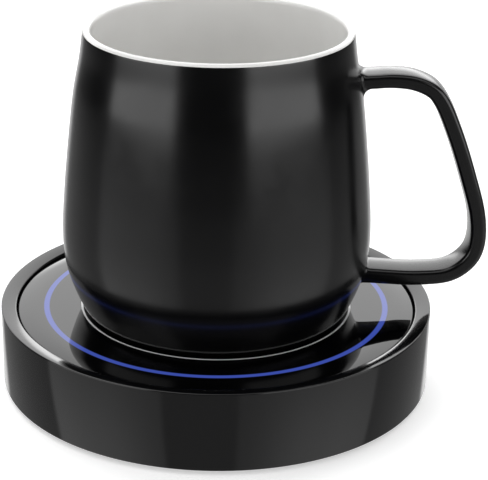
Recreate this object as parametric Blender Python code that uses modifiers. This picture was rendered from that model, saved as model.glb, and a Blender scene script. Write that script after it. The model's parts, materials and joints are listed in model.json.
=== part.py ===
"""Mug warmer with its mug.

A round black housing frames a glass plate that floats on three springs. The mug's weight
presses the plate down on its stops, and a post under the plate then holds the switch in.
A film heater warms the glass through an aluminium disc, and a ring of lights shines
through the glass round the mug. Everything is in metres, +Z up, and the origin is the
middle of the non-slip pad's underside, where the warmer stands on the table.
"""

import math
from collections import namedtuple

import bmesh
import bpy
from mathutils import Vector
from mathutils.geometry import interpolate_bezier

# Air between two pieces that touch, and room round a screw in its hole
GAP = 0.0003
SCREW_ROOM = 0.0004
# How far a cutter starts outside its piece, and how deep a joined shape is sunk into one
OVER = 0.0005
SUNK = 0.0004
# What keeps two faces that would lie level apart
STEP = 0.0001
# Sides of turned pieces. Those inside the warmer share one count, so that their flats face
# each other across the same gap all round
OUTER_SIDES = 60
INNER_SIDES = 30
MUG_SIDES = 48

# Warmer, outside
BASE_R = 0.0650
RIM_TOP = 0.0253
RIM_INNER_R = 0.0605
RIM_FALL = 0.0008
RIM_THICK = 0.0026
RIM_EDGE = 0.0004
SKIRT = 0.0012
SKIRT_LOW = 0.0190
WALL_FOOT = 0.0015
WALL = 0.0022
GLASS_R = 0.0600
GLASS_TOP = 0.02375
GLASS_THICK = 0.0030
GLASS_EDGE = 0.0005
GLASS_EDGE_LOW = 0.0003
PLATE_TRAVEL = 0.0010

# Non-slip pad, with grooves at these radii
PAD_R = 0.0530
PAD_EDGE = 0.0004
PAD_GROOVES = (0.0440, 0.0300)
GROOVE_HALF = 0.0009
GROOVE_DEEP = 0.0005
GROOVE_SLOPE = 0.0003

# Warmer, inside, from the floor up
COVER_R = 0.0633
COVER_THICK = 0.0024
COVER_LIP = 0.0014
COVER_LIP_TALL = 0.0022
COVER_LIP_INSET = 0.0010
PAD_RECESS = 0.0007
BOARD_THICK = 0.0012
BOARD_POST = 0.0008
BOARD_POST_R = 0.0030
BOARD_R = 0.0330
CARRIER_FLOOR = 0.0015
CARRIER_R = 0.0585
CARRIER_WALL = 0.0014
WELL_R = 0.0370
RIB = 0.0011
CHANNEL_RIBS = (0.0480, 0.0537)
SPREADER_THICK = 0.0012
FILM_THICK = 0.0006
LIGHT_R = 0.0514
LIGHT_WIDTH = 0.0020
LIGHT_FOOT = 0.0011
LIGHT_BOARD_THICK = 0.0009
LED_SIZE = (0.0026, 0.0028, 0.0011)
LED_COUNT = 12

# Places round the base, in degrees from +X, and bosses for the case screws
GUIDE_R = 0.0420
GUIDE_ANGLES = (30, 150, 270)
SCREW_R = 0.0584
SCREW_ANGLES = (45, 135, 225, 315)
BOSS_R = 0.0032
BOSS_BELOW_CARRIER = 0.0011
BOARD_SCREWS = ((0.0240, 0.0150), (-0.0240, 0.0150), (0.0, -0.0270))

# Screws
ScrewSize = namedtuple("ScrewSize", "head_r head shank_r shank")
CASE_SCREW = ScrewSize(head_r=0.0025, head=0.0012, shank_r=0.0011, shank=0.0068)
RETAINING_SCREW = ScrewSize(head_r=0.0036, head=0.0014, shank_r=0.0012, shank=0.0056)
BOARD_SCREW = ScrewSize(head_r=0.0020, head=0.0009, shank_r=0.0008, shank=0.0032)
PILOT_SPARE = 0.0010

# Guides: a pin under the plate in a sleeve on the floor, with a sink for the screw's head
PIN_R = 0.0022
SLEEVE_R = 0.0052
SINK_TOP = 0.0056

# Springs, whose end turns lie closer than the middle ones
SPRING_R = 0.0063
SPRING_WIRE = 0.0008
SPRING_TURNS = 4
SPRING_END_PITCH = 0.0014
SPRING_POINTS = 8

# Power inlet at the back
INLET_BORE_R = 0.00275
INLET_COLLAR_R = 0.00335
INLET_COLLAR_LONG = 0.0080
INLET_WIDTH = 0.0090
INLET_DEPTH = 0.0100
INLET_BODY = (0.0030, 0.0143)
INLET_PIN_R = 0.00105
INLET_PIN_LONG = 0.0118
INLET_PIN_BACK = 0.0015

# Switch under the plate, and the post that works it
SWITCH_AT = (0.0180, -0.0140)
SWITCH_SIDE = 0.0062
SWITCH_TALL = 0.0040
SWITCH_BORE = 0.0025
PLUNGER_R = 0.0016
SWITCH_POST = 0.0010
SWITCH_POST_R = 0.0020

# Pieces on the board: middle and size of each
TONGUE = ((0, 0.0420), (0.0170, 0.0300))
CONTROLLER = ((-0.0030, 0.0080), (0.0080, 0.0100, 0.0019))
FIRST_CHIP = ((0.0065, 0.0020), (0.0032, 0.0016, 0.0011))
CHIP_COUNT = 4
CHIP_PITCH = 0.0042
CAPACITOR_AT = (-0.0140, 0.0200)
CAPACITOR_R = 0.0031
CAPACITOR_TALL = 0.0062
TRANSISTOR = ((0.0150, 0.0230), (0.0066, 0.0061, 0.0023))
TRANSISTOR_TAB = ((0.0150, 0.0265), (0.0052, 0.0020, 0.0006))
SOCKET_TALL = 0.0042
HEATER_SOCKET = ((-0.0240, -0.0120), (0.0060, 0.0078, SOCKET_TALL))
SIGNAL_SOCKET = ((-0.0080, -0.0175), (0.0078, 0.0050, SOCKET_TALL))
SOLDERED = 0.0003

# Leads: wire radii, and routes from their sockets as points above the sockets' tops
HEATER_WIRE_R = 0.0007
SIGNAL_WIRE_R = 0.0006
HEATER_LEAD_YS = (-0.0138, -0.0102)
HEATER_LEAD = (
    (-0.0240, 0), (-0.0240, 0.0007), (-0.0243, 0.0015), (-0.0250, 0.0024), (-0.0256, 0.0034),
    (-0.0258, 0.0046),
)
SENSOR_LEAD = (
    (-0.0100, -0.0175, 0), (-0.0100, -0.0175, 0.0005), (-0.0096, -0.0168, 0.0010),
    (-0.0085, -0.0150, 0.0013), (-0.0060, -0.0105, 0.0014), (-0.0030, -0.0052, 0.0014),
    (-0.0008, -0.0014, 0.0015), (-0.0002, -0.0003, 0.0019), (0, 0, 0.0026),
)
LIGHT_LEAD = (
    (-0.0060, -0.0175, 0), (-0.0060, -0.0175, 0.0006), (-0.0064, -0.0181, 0.0012),
    (-0.0080, -0.0200, 0.0015), (-0.0140, -0.0240, 0.0015), (-0.0240, -0.0274, 0.0015),
    (-0.0340, -0.0291, 0.0015),
)
LIGHT_LEAD_ANGLE = 215
LEAD_HOLE_R = 0.0012

# Heater: openings for the leads, the sensor and the cut-out
HEATER_SLOT_AT = (-0.0258, -0.0120)
CARRIER_SLOT = (0.0040, 0.0080)
FELT_SLOT = (0.0030, 0.0064)
SENSOR_R = 0.0030
SENSOR_NECK = 0.0008
CUTOUT_R = 0.0013
CUTOUT_LONG = 0.0090
CUTOUT_Y = 0.0200
CUTOUT_SLOT = (0.0098, 0.0034)

# Mug: heights are above the glass it stands on
MUG_CROWN = 0.0859
LIP_R = 0.00120
LIP_MID_R = 0.03795
MUG_FLOOR = 0.0066
MUG_UNDERSIDE = 0.0016
FOOT_R = 0.0385
FOOT_WIDTH = 0.0025
FOOT_SLOPE = 0.0010
BODY_OUTSIDE = (
    (0.03915, 0.0847), (0.0401, 0.0775), (0.0420, 0.0675), (0.0438, 0.0525), (0.0452, 0.0380),
    (0.0460, 0.0245), (0.0453, 0.0152), (0.0432, 0.0082), (0.0407, 0.0023),
)
BODY_FOOT = (0.0399, 0.0010)
BODY_INSIDE = (
    (0.0290, 0.0070), (0.0375, 0.0098), (0.0414, 0.0180), (0.0417, 0.0300),
    (0.0403, 0.0520), (0.0388, 0.0670), (0.03675, 0.0847),
)

# Strap handle: its path as radii and heights, and the fillets at its roots
HANDLE_WIDTH = 0.0106
HANDLE_THICK_TOP = 0.0047
HANDLE_THICK_LOW = 0.0056
HANDLE_CORNER = 0.0014
HANDLE_FILLET = 0.0012
HANDLE_FILLET_UNDER = 0.0028
HANDLE_PATH = (
    (0.0392, 0.0706), (0.0412, 0.0708), (0.0430, 0.0710), (0.0500, 0.0716), (0.0574, 0.0707),
    (0.0633, 0.0673), (0.0686, 0.0568), (0.0739, 0.0420), (0.0776, 0.0285), (0.0770, 0.0180),
    (0.0708, 0.0118), (0.0605, 0.0103), (0.0505, 0.0106), (0.0455, 0.0109), (0.0420, 0.0110),
)

# Heights above the table that follow from the sizes above
COVER_TOP = WALL_FOOT + COVER_THICK
RECESS_TOP = WALL_FOOT + PAD_RECESS
PAD_TOP = RECESS_TOP - GAP
BOARD_LOW = COVER_TOP + BOARD_POST + GAP
BOARD_TOP = BOARD_LOW + BOARD_THICK
PIECE_LOW = BOARD_TOP + GAP
SOCKET_TOP = PIECE_LOW + SOCKET_TALL
CARRIER_LOW = 0.0135
CARRIER_TOP = CARRIER_LOW + CARRIER_FLOOR
STOP_TOP = CARRIER_LOW - GAP
RIB_TOP = 0.0173
GLASS_LOW = GLASS_TOP - GLASS_THICK
SHELF_TOP = GLASS_LOW - GAP
SPREADER_LOW = SHELF_TOP - SPREADER_THICK
FILM_LOW = SPREADER_LOW - GAP - FILM_THICK
FELT_LOW = CARRIER_TOP + GAP
RETAINER_LOW = SINK_TOP - PLATE_TRAVEL - RETAINING_SCREW.head - STEP
INLET_Z = PIECE_LOW + INLET_COLLAR_R
INLET_FACE = BASE_R - 0.0002
# Cutters through the plate's floor, the film or the felt run between these heights
THROUGH = (CARRIER_LOW - OVER, SHELF_TOP + OVER)


def clear_scene():
    for obj in list(bpy.data.objects):
        bpy.data.objects.remove(obj)


def new_collection(name):
    group = bpy.data.collections.new(name)
    bpy.context.scene.collection.children.link(group)
    return group


def finish(name, colour, roughness, metallic=0.0):
    material = bpy.data.materials.new(name)
    material.use_nodes = True
    shader = material.node_tree.nodes["Principled BSDF"]
    shader.inputs["Base Color"].default_value = (*colour, 1.0)
    shader.inputs["Roughness"].default_value = roughness
    shader.inputs["Metallic"].default_value = metallic
    material.diffuse_color = (*colour, 1.0)
    return material


clear_scene()
PARTS = new_collection("mug_warmer")
CUTTERS = new_collection("cutters")


def joint_empty(name, place, parent=None):
    empty = bpy.data.objects.new(name, None)
    empty.empty_display_size = 0.01
    empty.location = place
    empty.parent = parent
    PARTS.objects.link(empty)
    return empty


def add_part(name, data, look, parent=None, place=(0, 0, 0)):
    """A named piece with its own material, at a place under its parent."""
    obj = bpy.data.objects.new(name, data)
    data.materials.append(look)
    obj.location = place
    obj.parent = parent
    PARTS.objects.link(obj)
    return obj


def add_guide(name, data):
    """A shape that only cuts or joins others."""
    obj = bpy.data.objects.new(name, data)
    obj.hide_render = True
    obj.display_type = "WIRE"
    CUTTERS.objects.link(obj)
    return obj


def shape(target, guide, operation):
    step = target.modifiers.new(operation.lower(), "BOOLEAN")
    step.operation = operation
    step.object = guide
    return target


def cut(target, guide):
    return shape(target, guide, "DIFFERENCE")


def join(target, guide):
    return shape(target, guide, "UNION")


def mesh_from(bm, name):
    mesh = bpy.data.meshes.new(name)
    bm.to_mesh(mesh)
    bm.free()
    return mesh


def profile_mesh(name, profile):
    """(radius, height) points in the XZ plane. A profile off the axis closes on itself."""
    bm = bmesh.new()
    corners = [bm.verts.new((r, 0, z)) for r, z in profile]
    for a, b in zip(corners, corners[1:]):
        bm.edges.new((a, b))
    if profile[0][0] > 0:
        bm.edges.new((corners[-1], corners[0]))
    return mesh_from(bm, name)


def turn(obj, steps):
    """Turn a profile round Z."""
    screw = obj.modifiers.new("turn", "SCREW")
    screw.axis = "Z"
    screw.steps = steps
    screw.render_steps = steps
    screw.use_merge_vertices = True
    screw.merge_threshold = 0.00001
    screw.use_smooth_shade = True
    return obj


def cylinder_mesh(name, radius, height, sides):
    """A cylinder standing on its own origin."""
    bm = bmesh.new()
    bmesh.ops.create_cone(bm, cap_ends=True, segments=sides, radius1=radius, radius2=radius,
                          depth=height)
    bmesh.ops.translate(bm, verts=bm.verts, vec=(0, 0, height / 2))
    return mesh_from(bm, name)


def box_mesh(name, size):
    """A box standing on its own origin."""
    bm = bmesh.new()
    bmesh.ops.create_cube(bm, size=1)
    bmesh.ops.translate(bm, verts=bm.verts, vec=(0, 0, 0.5))
    bmesh.ops.scale(bm, verts=bm.verts, vec=size)
    return mesh_from(bm, name)


def guide_cylinder(name, radius, low, high, at=(0, 0), sides=20):
    guide = add_guide(name, cylinder_mesh(name, radius, high - low, sides))
    guide.location = (*at, low)
    return guide


def guide_across(name, radius, start, long, sides=24):
    """A cylinder at the inlet's height that runs inwards from a distance behind the axis."""
    guide = add_guide(name, cylinder_mesh(name, radius, long, sides))
    guide.location = (0, start, INLET_Z)
    guide.rotation_euler.x = math.radians(90)
    return guide


def guide_box(name, size, centre, low, turned=0.0):
    guide = add_guide(name, box_mesh(name, size))
    guide.location = (*centre, low)
    guide.rotation_euler.z = turned
    return guide


def slot_through(name, size, centre):
    """A box that cuts a slot through the plate's floor or the felt."""
    low, high = THROUGH
    return guide_box(name, (*size, high - low), centre, low)


def polar(radius, degrees):
    return radius * math.cos(math.radians(degrees)), radius * math.sin(math.radians(degrees))


def arc(centre, radius, start, end, steps):
    """(radius, height) points on a circle, from one angle to another."""
    turns = [math.radians(start + (end - start) * i / steps) for i in range(steps + 1)]
    return [(centre[0] + radius * math.cos(a), centre[1] + radius * math.sin(a)) for a in turns]


def curve_through(points, per_span):
    """A smooth curve through the points, with that many steps between two of them."""
    knots = [Vector((x, y, 0)) for x, y in points]
    chords = [(b - a).length for a, b in zip(knots, knots[1:])]
    slopes = [(knots[1] - knots[0]) / chords[0]]
    for i in range(1, len(knots) - 1):
        slopes.append((knots[i + 1] - knots[i - 1]) / (chords[i] + chords[i - 1]))
    slopes.append((knots[-1] - knots[-2]) / chords[-1])
    found = []
    for i, chord in enumerate(chords):
        first = knots[i] + slopes[i] * chord / 3
        second = knots[i + 1] - slopes[i + 1] * chord / 3
        found += interpolate_bezier(knots[i], first, second, knots[i + 1], per_span + 1)[:-1]
    found.append(knots[-1])
    return [(p.x, p.y) for p in found]


def wire(name, points, radius, look):
    """A round wire along the points, closed at both ends."""
    data = bpy.data.curves.new(name, "CURVE")
    data.dimensions = "3D"
    data.bevel_depth = radius
    data.bevel_resolution = 1
    data.use_fill_caps = True
    spline = data.splines.new("POLY")
    spline.points.add(len(points) - 1)
    for point, place in zip(spline.points, points):
        point.co = (*place, 1)
    return add_part(name, data, look)


def housing_shell(look):
    """Outer wall and rim in one moulding, with screw bosses and the inlet's hole."""
    rim_low = RIM_TOP - RIM_THICK
    inner_top = RIM_TOP - RIM_FALL
    inner_r = BASE_R - WALL
    skirt_r = RIM_INNER_R + SKIRT
    lip_r = COVER_R + GAP
    boss_low = COVER_TOP + GAP
    boss_high = CARRIER_LOW - BOSS_BELOW_CARRIER
    profile = [
        (RIM_INNER_R + RIM_EDGE, inner_top),
        (BASE_R - RIM_EDGE, RIM_TOP),
        (BASE_R, RIM_TOP - RIM_EDGE),
        (BASE_R, WALL_FOOT),
        (lip_r, WALL_FOOT),
        (lip_r, boss_low),
        (inner_r, boss_low),
        (inner_r, rim_low),
        (skirt_r, rim_low),
        (skirt_r, SKIRT_LOW),
        (RIM_INNER_R, SKIRT_LOW),
        (RIM_INNER_R, inner_top - RIM_EDGE),
    ]
    shell = turn(add_part("housing_shell", profile_mesh("housing_shell", profile), look),
                 OUTER_SIDES)
    web_inset = 0.0002
    web = (0.0045, 0.0016, boss_high - boss_low - 2 * web_inset)
    web_out = 0.0035
    pilot_r = CASE_SCREW.shank_r + GAP
    pilot_high = WALL_FOOT + CASE_SCREW.head + CASE_SCREW.shank + PILOT_SPARE
    for i, angle in enumerate(SCREW_ANGLES):
        at = polar(SCREW_R, angle)
        web_at = polar(SCREW_R + web_out, angle)
        join(shell, guide_cylinder(f"boss_{i}", BOSS_R, boss_low, boss_high, at, 12))
        join(shell, guide_box(f"web_{i}", web, web_at, boss_low + web_inset, math.radians(angle)))
        cut(shell, guide_cylinder(f"pilot_{i}", pilot_r, boss_low - OVER, pilot_high, at, 10))
    outside, hole_long = 0.0040, 0.0100
    return cut(shell, guide_across("inlet_hole", INLET_COLLAR_R + GAP, BASE_R + outside, hole_long))


def bottom_cover(look):
    """Floor with the pad's recess, guide sleeves, board posts and counterbored holes."""
    recess_r = PAD_R + GAP
    lip_out = COVER_R - COVER_LIP_INSET
    lip_in = lip_out - COVER_LIP
    lip_top = COVER_TOP + COVER_LIP_TALL
    profile = [
        (0, COVER_TOP),
        (lip_in, COVER_TOP),
        (lip_in, lip_top),
        (lip_out, lip_top),
        (lip_out, COVER_TOP),
        (COVER_R, COVER_TOP),
        (COVER_R, WALL_FOOT),
        (recess_r, WALL_FOOT),
        (recess_r, RECESS_TOP),
        (0, RECESS_TOP),
    ]
    cover = turn(add_part("bottom_cover", profile_mesh("bottom_cover", profile), look),
                 INNER_SIDES)
    below = WALL_FOOT - OVER
    for i, angle in enumerate(GUIDE_ANGLES):
        at = polar(GUIDE_R, angle)
        sink_r = RETAINING_SCREW.head_r + SCREW_ROOM
        join(cover, guide_cylinder(f"sleeve_{i}", SLEEVE_R, RECESS_TOP + SUNK, STOP_TOP, at, 16))
        cut(cover, guide_cylinder(f"sleeve_bore_{i}", PIN_R + GAP, below, STOP_TOP + OVER, at, 14))
        cut(cover, guide_cylinder(f"sleeve_sink_{i}", sink_r, below, SINK_TOP, at, 14))
    post_top = COVER_TOP + BOARD_POST
    post_pilot_low = PIECE_LOW - BOARD_SCREW.shank - SCREW_ROOM
    for i, at in enumerate(BOARD_SCREWS):
        pilot_r = BOARD_SCREW.shank_r + GAP
        join(cover, guide_cylinder(f"post_{i}", BOARD_POST_R, COVER_TOP - SUNK, post_top, at, 12))
        cut(cover, guide_cylinder(f"post_pilot_{i}", pilot_r, post_pilot_low, post_top + OVER, at, 10))
    room_low = COVER_TOP - STEP
    room_r = BOSS_R + 0.0015
    hole_r = CASE_SCREW.shank_r + SCREW_ROOM
    sink_r = CASE_SCREW.head_r + SCREW_ROOM
    sink_top = WALL_FOOT + CASE_SCREW.head + GAP
    for i, angle in enumerate(SCREW_ANGLES):
        at = polar(SCREW_R, angle)
        cut(cover, guide_cylinder(f"boss_room_{i}", room_r, room_low, lip_top + OVER, at, 12))
        cut(cover, guide_cylinder(f"screw_hole_{i}", hole_r, below, COVER_TOP + OVER, at, 10))
        cut(cover, guide_cylinder(f"screw_sink_{i}", sink_r, below, sink_top, at, 12))
    gate = (0.0200, 0.0120, COVER_LIP_TALL + OVER)
    return cut(cover, guide_box("inlet_gate", gate, (0, BASE_R), room_low))


def non_slip_pad(look):
    """Silicone disc with two shallow grooves, which the warmer stands on."""
    profile = [(0, PAD_TOP), (PAD_R, PAD_TOP), (PAD_R, PAD_EDGE), (PAD_R - PAD_EDGE, 0)]
    for middle in PAD_GROOVES:
        outer, inner = middle + GROOVE_HALF, middle - GROOVE_HALF
        profile += [(outer, 0), (outer - GROOVE_SLOPE, GROOVE_DEEP),
                    (inner + GROOVE_SLOPE, GROOVE_DEEP), (inner, 0)]
    profile.append((0, 0))
    return turn(add_part("non_slip_pad", profile_mesh("non_slip_pad", profile), look),
                INNER_SIDES)


def screw(name, size, look, at, low, parent=None):
    """A flat-headed screw, head down, with a hexagonal socket in the head."""
    socket_r, socket_deep = size.head_r * 0.42, size.head * 0.55
    profile = [
        (0, size.head + size.shank),
        (size.shank_r, size.head + size.shank),
        (size.shank_r, size.head),
        (size.head_r, size.head),
        (size.head_r, 0),
        (0, 0),
    ]
    obj = turn(add_part(name, profile_mesh(name, profile), look, parent), 10)
    obj.location = (*at, low)
    socket = guide_cylinder(name + "_socket", socket_r, -OVER, socket_deep, sides=6)
    socket.parent = obj
    return cut(obj, socket)


def case_screws(look):
    for i, angle in enumerate(SCREW_ANGLES):
        screw(f"case_screw_{i + 1}", CASE_SCREW, look, polar(SCREW_R, angle), WALL_FOOT)


def retaining_screws(look, plate):
    """They run in the sleeves' counterbores and stop the plate from lifting out."""
    for i, angle in enumerate(GUIDE_ANGLES):
        screw(f"retaining_screw_{i + 1}", RETAINING_SCREW, look, polar(GUIDE_R, angle),
              RETAINER_LOW, plate)


def board_screws(look):
    """These are driven from above, so each is turned over."""
    for i, at in enumerate(BOARD_SCREWS):
        obj = screw(f"board_screw_{i + 1}", BOARD_SCREW, look, at, PIECE_LOW + BOARD_SCREW.head)
        obj.rotation_euler.x = math.pi


def control_board(look):
    """Round board with a tongue to the inlet; its small chips are soldered flat on it."""
    board = add_part("control_board", cylinder_mesh("control_board", BOARD_R, BOARD_THICK, 30),
                     look, place=(0, 0, BOARD_LOW))
    tongue_at, tongue = TONGUE
    join(board, guide_box("tongue", (*tongue, BOARD_THICK), tongue_at, BOARD_LOW))
    for i, at in enumerate(BOARD_SCREWS):
        cut(board, guide_cylinder(f"board_hole_{i}", BOARD_SCREW.shank_r + GAP, BOARD_LOW - OVER,
                                  BOARD_TOP + OVER, at, 10))
    chip_low = BOARD_TOP - SOLDERED
    middle, size = CONTROLLER
    join(board, guide_box("controller", size, middle, chip_low))
    (x, y), size = FIRST_CHIP
    for i in range(CHIP_COUNT):
        join(board, guide_box(f"chip_{i}", size, (x, y + CHIP_PITCH * i), chip_low))
    return board


def board_pieces(plastic, ivory, sleeve):
    """Larger pieces that stand on the board."""
    edge = 0.0004
    can = [(0, CAPACITOR_TALL), (CAPACITOR_R - edge, CAPACITOR_TALL),
           (CAPACITOR_R, CAPACITOR_TALL - edge), (CAPACITOR_R, 0), (0, 0)]
    turn(add_part("filter_capacitor", profile_mesh("filter_capacitor", can), sleeve,
                  place=(*CAPACITOR_AT, PIECE_LOW)), 20)
    middle, size = TRANSISTOR
    transistor = add_part("power_transistor", box_mesh("power_transistor", size), plastic,
                          place=(*middle, PIECE_LOW))
    tab_at, tab = TRANSISTOR_TAB
    tab_up = 0.0002
    join(transistor, guide_box("transistor_tab", tab, tab_at, PIECE_LOW + tab_up))
    for name, (middle, size) in (
        ("heater_connector", HEATER_SOCKET), ("signal_connector", SIGNAL_SOCKET),
    ):
        socket = add_part(name, box_mesh(name, size), ivory, place=(*middle, PIECE_LOW))
        step = socket.modifiers.new("edges", "BEVEL")
        step.width = edge
        step.segments = 1


def dc_inlet(look, pin_look):
    """Barrel socket on the board's tongue; its collar fills the hole in the wall."""
    front, back = (INLET_FACE - depth for depth in INLET_BODY)
    size = (INLET_WIDTH, front - back, 2 * INLET_COLLAR_R)
    inlet = add_part("dc_inlet", box_mesh("dc_inlet", size), look,
                     place=(0, (front + back) / 2, PIECE_LOW))
    join(inlet, guide_across("inlet_collar", INLET_COLLAR_R, INLET_FACE, INLET_COLLAR_LONG))
    start = INLET_FACE + OVER
    cut(inlet, guide_across("inlet_bore", INLET_BORE_R, start, INLET_DEPTH + OVER))
    cut(inlet, guide_across("pin_hole", INLET_PIN_R + GAP, start, start - back + OVER))
    pin = add_part("inlet_pin", cylinder_mesh("inlet_pin", INLET_PIN_R, INLET_PIN_LONG, 14),
                   pin_look, place=(0, INLET_FACE - INLET_PIN_BACK, INLET_Z))
    pin.rotation_euler.x = math.radians(90)
    return inlet


def switch(look, button_look, plunger_joint):
    """Push switch that the plate's post holds in while a mug stands on the glass."""
    side = (SWITCH_SIDE, SWITCH_SIDE, SWITCH_TALL)
    body = add_part("switch_body", box_mesh("switch_body", side), look,
                    place=(*SWITCH_AT, PIECE_LOW))
    top = PIECE_LOW + SWITCH_TALL
    bore_low = top - SWITCH_BORE
    cut(body, guide_cylinder("switch_bore", PLUNGER_R + GAP, bore_low, top + OVER, SWITCH_AT, 16))
    low = bore_low + GAP
    tall = CARRIER_LOW - SWITCH_POST - GAP - low
    edge = 0.0004
    plunger = [(0, tall), (PLUNGER_R - edge, tall), (PLUNGER_R, tall - edge), (PLUNGER_R, 0), (0, 0)]
    turn(add_part("switch_plunger", profile_mesh("switch_plunger", plunger), button_look,
                  plunger_joint, (0, 0, low - plunger_joint.location.z)), 16)


def spring_points(low, high):
    """Centre line of a spring whose end turns are closer together than the rest."""
    count = SPRING_TURNS * SPRING_POINTS
    middle_pitch = (high - low - 2 * SPRING_END_PITCH) / (SPRING_TURNS - 2)
    points = []
    for i in range(count + 1):
        turns = i / SPRING_POINTS
        height = SPRING_END_PITCH * min(turns, 1)
        height += middle_pitch * min(max(turns - 1, 0), SPRING_TURNS - 2)
        height += SPRING_END_PITCH * max(turns - SPRING_TURNS + 1, 0)
        x, y = polar(SPRING_R, 360 * turns)
        points.append((x, y, low + height))
    return points


def least_gap(points, wire_d):
    """Least air between one turn and the next, measured from point to stretch."""
    least = math.inf
    for i, place in enumerate(points):
        here = Vector(place)
        for j in range(i + SPRING_POINTS // 2, len(points) - 1):
            start, end = Vector(points[j]), Vector(points[j + 1])
            along = max(0, min(1, (here - start).dot(end - start) / (end - start).length_squared))
            least = min(least, (here - start.lerp(end, along)).length - wire_d)
    return least


def plate_springs(look):
    """Three coil springs round the guide sleeves. They push the plate up."""
    low = COVER_TOP + GAP + SPRING_WIRE / 2
    high = STOP_TOP - SPRING_WIRE / 2
    points = spring_points(low, high)
    print(f"spring: least gap to itself {least_gap(points, SPRING_WIRE) * 1000:.2f} mm")
    for i, angle in enumerate(GUIDE_ANGLES):
        coil = wire(f"plate_spring_{i + 1}", points, SPRING_WIRE / 2, look)
        coil.location = (*polar(GUIDE_R, angle), 0)
        coil.rotation_euler.z = math.radians(angle)


def leads(look, signal_look):
    """Leads from the plate's pieces to the board, with slack for the plate's travel."""
    top = SOCKET_TOP + GAP
    slot_x = HEATER_SLOT_AT[0]
    for i, y in enumerate(HEATER_LEAD_YS):
        route = [(x, y, top + up) for x, up in HEATER_LEAD]
        wire(f"heater_lead_{i + 1}", [*route, (slot_x, y, FILM_LOW - GAP)], HEATER_WIRE_R, look)
    route = [(x, y, top + up) for x, y, up in SENSOR_LEAD]
    wire("sensor_lead", [*route, (0, 0, CARRIER_TOP + GAP)], SIGNAL_WIRE_R, signal_look)
    x, y = polar(LIGHT_R, LIGHT_LEAD_ANGLE)
    route = [(x, y, top + up) for x, y, up in LIGHT_LEAD]
    turn_up = [(x + 0.0030, y + 0.0003, top + 0.0015), (x + 0.0008, y, top + 0.0017),
               (x, y, top + 0.0025), (x, y, CARRIER_TOP)]
    wire("light_lead", route + turn_up, SIGNAL_WIRE_R, signal_look)


def plate_carrier(look, plate):
    """Dish under the glass: heater well, light channel, guide pins and the switch's post."""
    ribs = []
    for inner, top in ((WELL_R, SPREADER_LOW - GAP), *((r, RIB_TOP) for r in CHANNEL_RIBS)):
        outer = inner + RIB
        ribs += [(inner, CARRIER_TOP), (inner, top), (outer, top), (outer, CARRIER_TOP)]
    wall_inner = CARRIER_R - CARRIER_WALL
    shelf_r = GLASS_R - 0.0003
    shelf_low = SHELF_TOP - 0.0014
    profile = [
        (0, CARRIER_TOP), *ribs, (wall_inner, CARRIER_TOP), (wall_inner, SHELF_TOP),
        (shelf_r, SHELF_TOP), (shelf_r, shelf_low), (CARRIER_R, shelf_low),
        (CARRIER_R, CARRIER_LOW), (0, CARRIER_LOW),
    ]
    carrier = turn(add_part("plate_carrier", profile_mesh("plate_carrier", profile), look, plate),
                   INNER_SIDES)
    rooted = CARRIER_TOP - SUNK
    pin_low = RETAINER_LOW + RETAINING_SCREW.head + GAP
    pilot_r = RETAINING_SCREW.shank_r + GAP
    pilot_high = pin_low + RETAINING_SCREW.shank + PILOT_SPARE
    for i, angle in enumerate(GUIDE_ANGLES):
        at = polar(GUIDE_R, angle)
        join(carrier, guide_cylinder(f"guide_pin_{i}", PIN_R, pin_low, rooted, at, 12))
        cut(carrier, guide_cylinder(f"pin_pilot_{i}", pilot_r, pin_low - OVER, pilot_high, at, 10))
    join(carrier, guide_cylinder("switch_post", SWITCH_POST_R, CARRIER_LOW - SWITCH_POST, rooted,
                                 SWITCH_AT, 16))
    cut(carrier, slot_through("heater_slot", CARRIER_SLOT, HEATER_SLOT_AT))
    cut(carrier, guide_cylinder("sensor_hole", LEAD_HOLE_R, *THROUGH, sides=12))
    light_at = polar(LIGHT_R, LIGHT_LEAD_ANGLE)
    return cut(carrier, guide_cylinder("light_hole", LEAD_HOLE_R, *THROUGH, light_at, 12))


def glass_plate(look, plate):
    """Round glass the mug stands on, with its edge ground to a small bevel."""
    profile = [
        (0, GLASS_TOP), (GLASS_R - GLASS_EDGE, GLASS_TOP), (GLASS_R, GLASS_TOP - GLASS_EDGE),
        (GLASS_R, GLASS_LOW + GLASS_EDGE_LOW), (GLASS_R - GLASS_EDGE_LOW, GLASS_LOW),
        (0, GLASS_LOW),
    ]
    return turn(add_part("glass_plate", profile_mesh("glass_plate", profile), look, plate),
                OUTER_SIDES)


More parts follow.
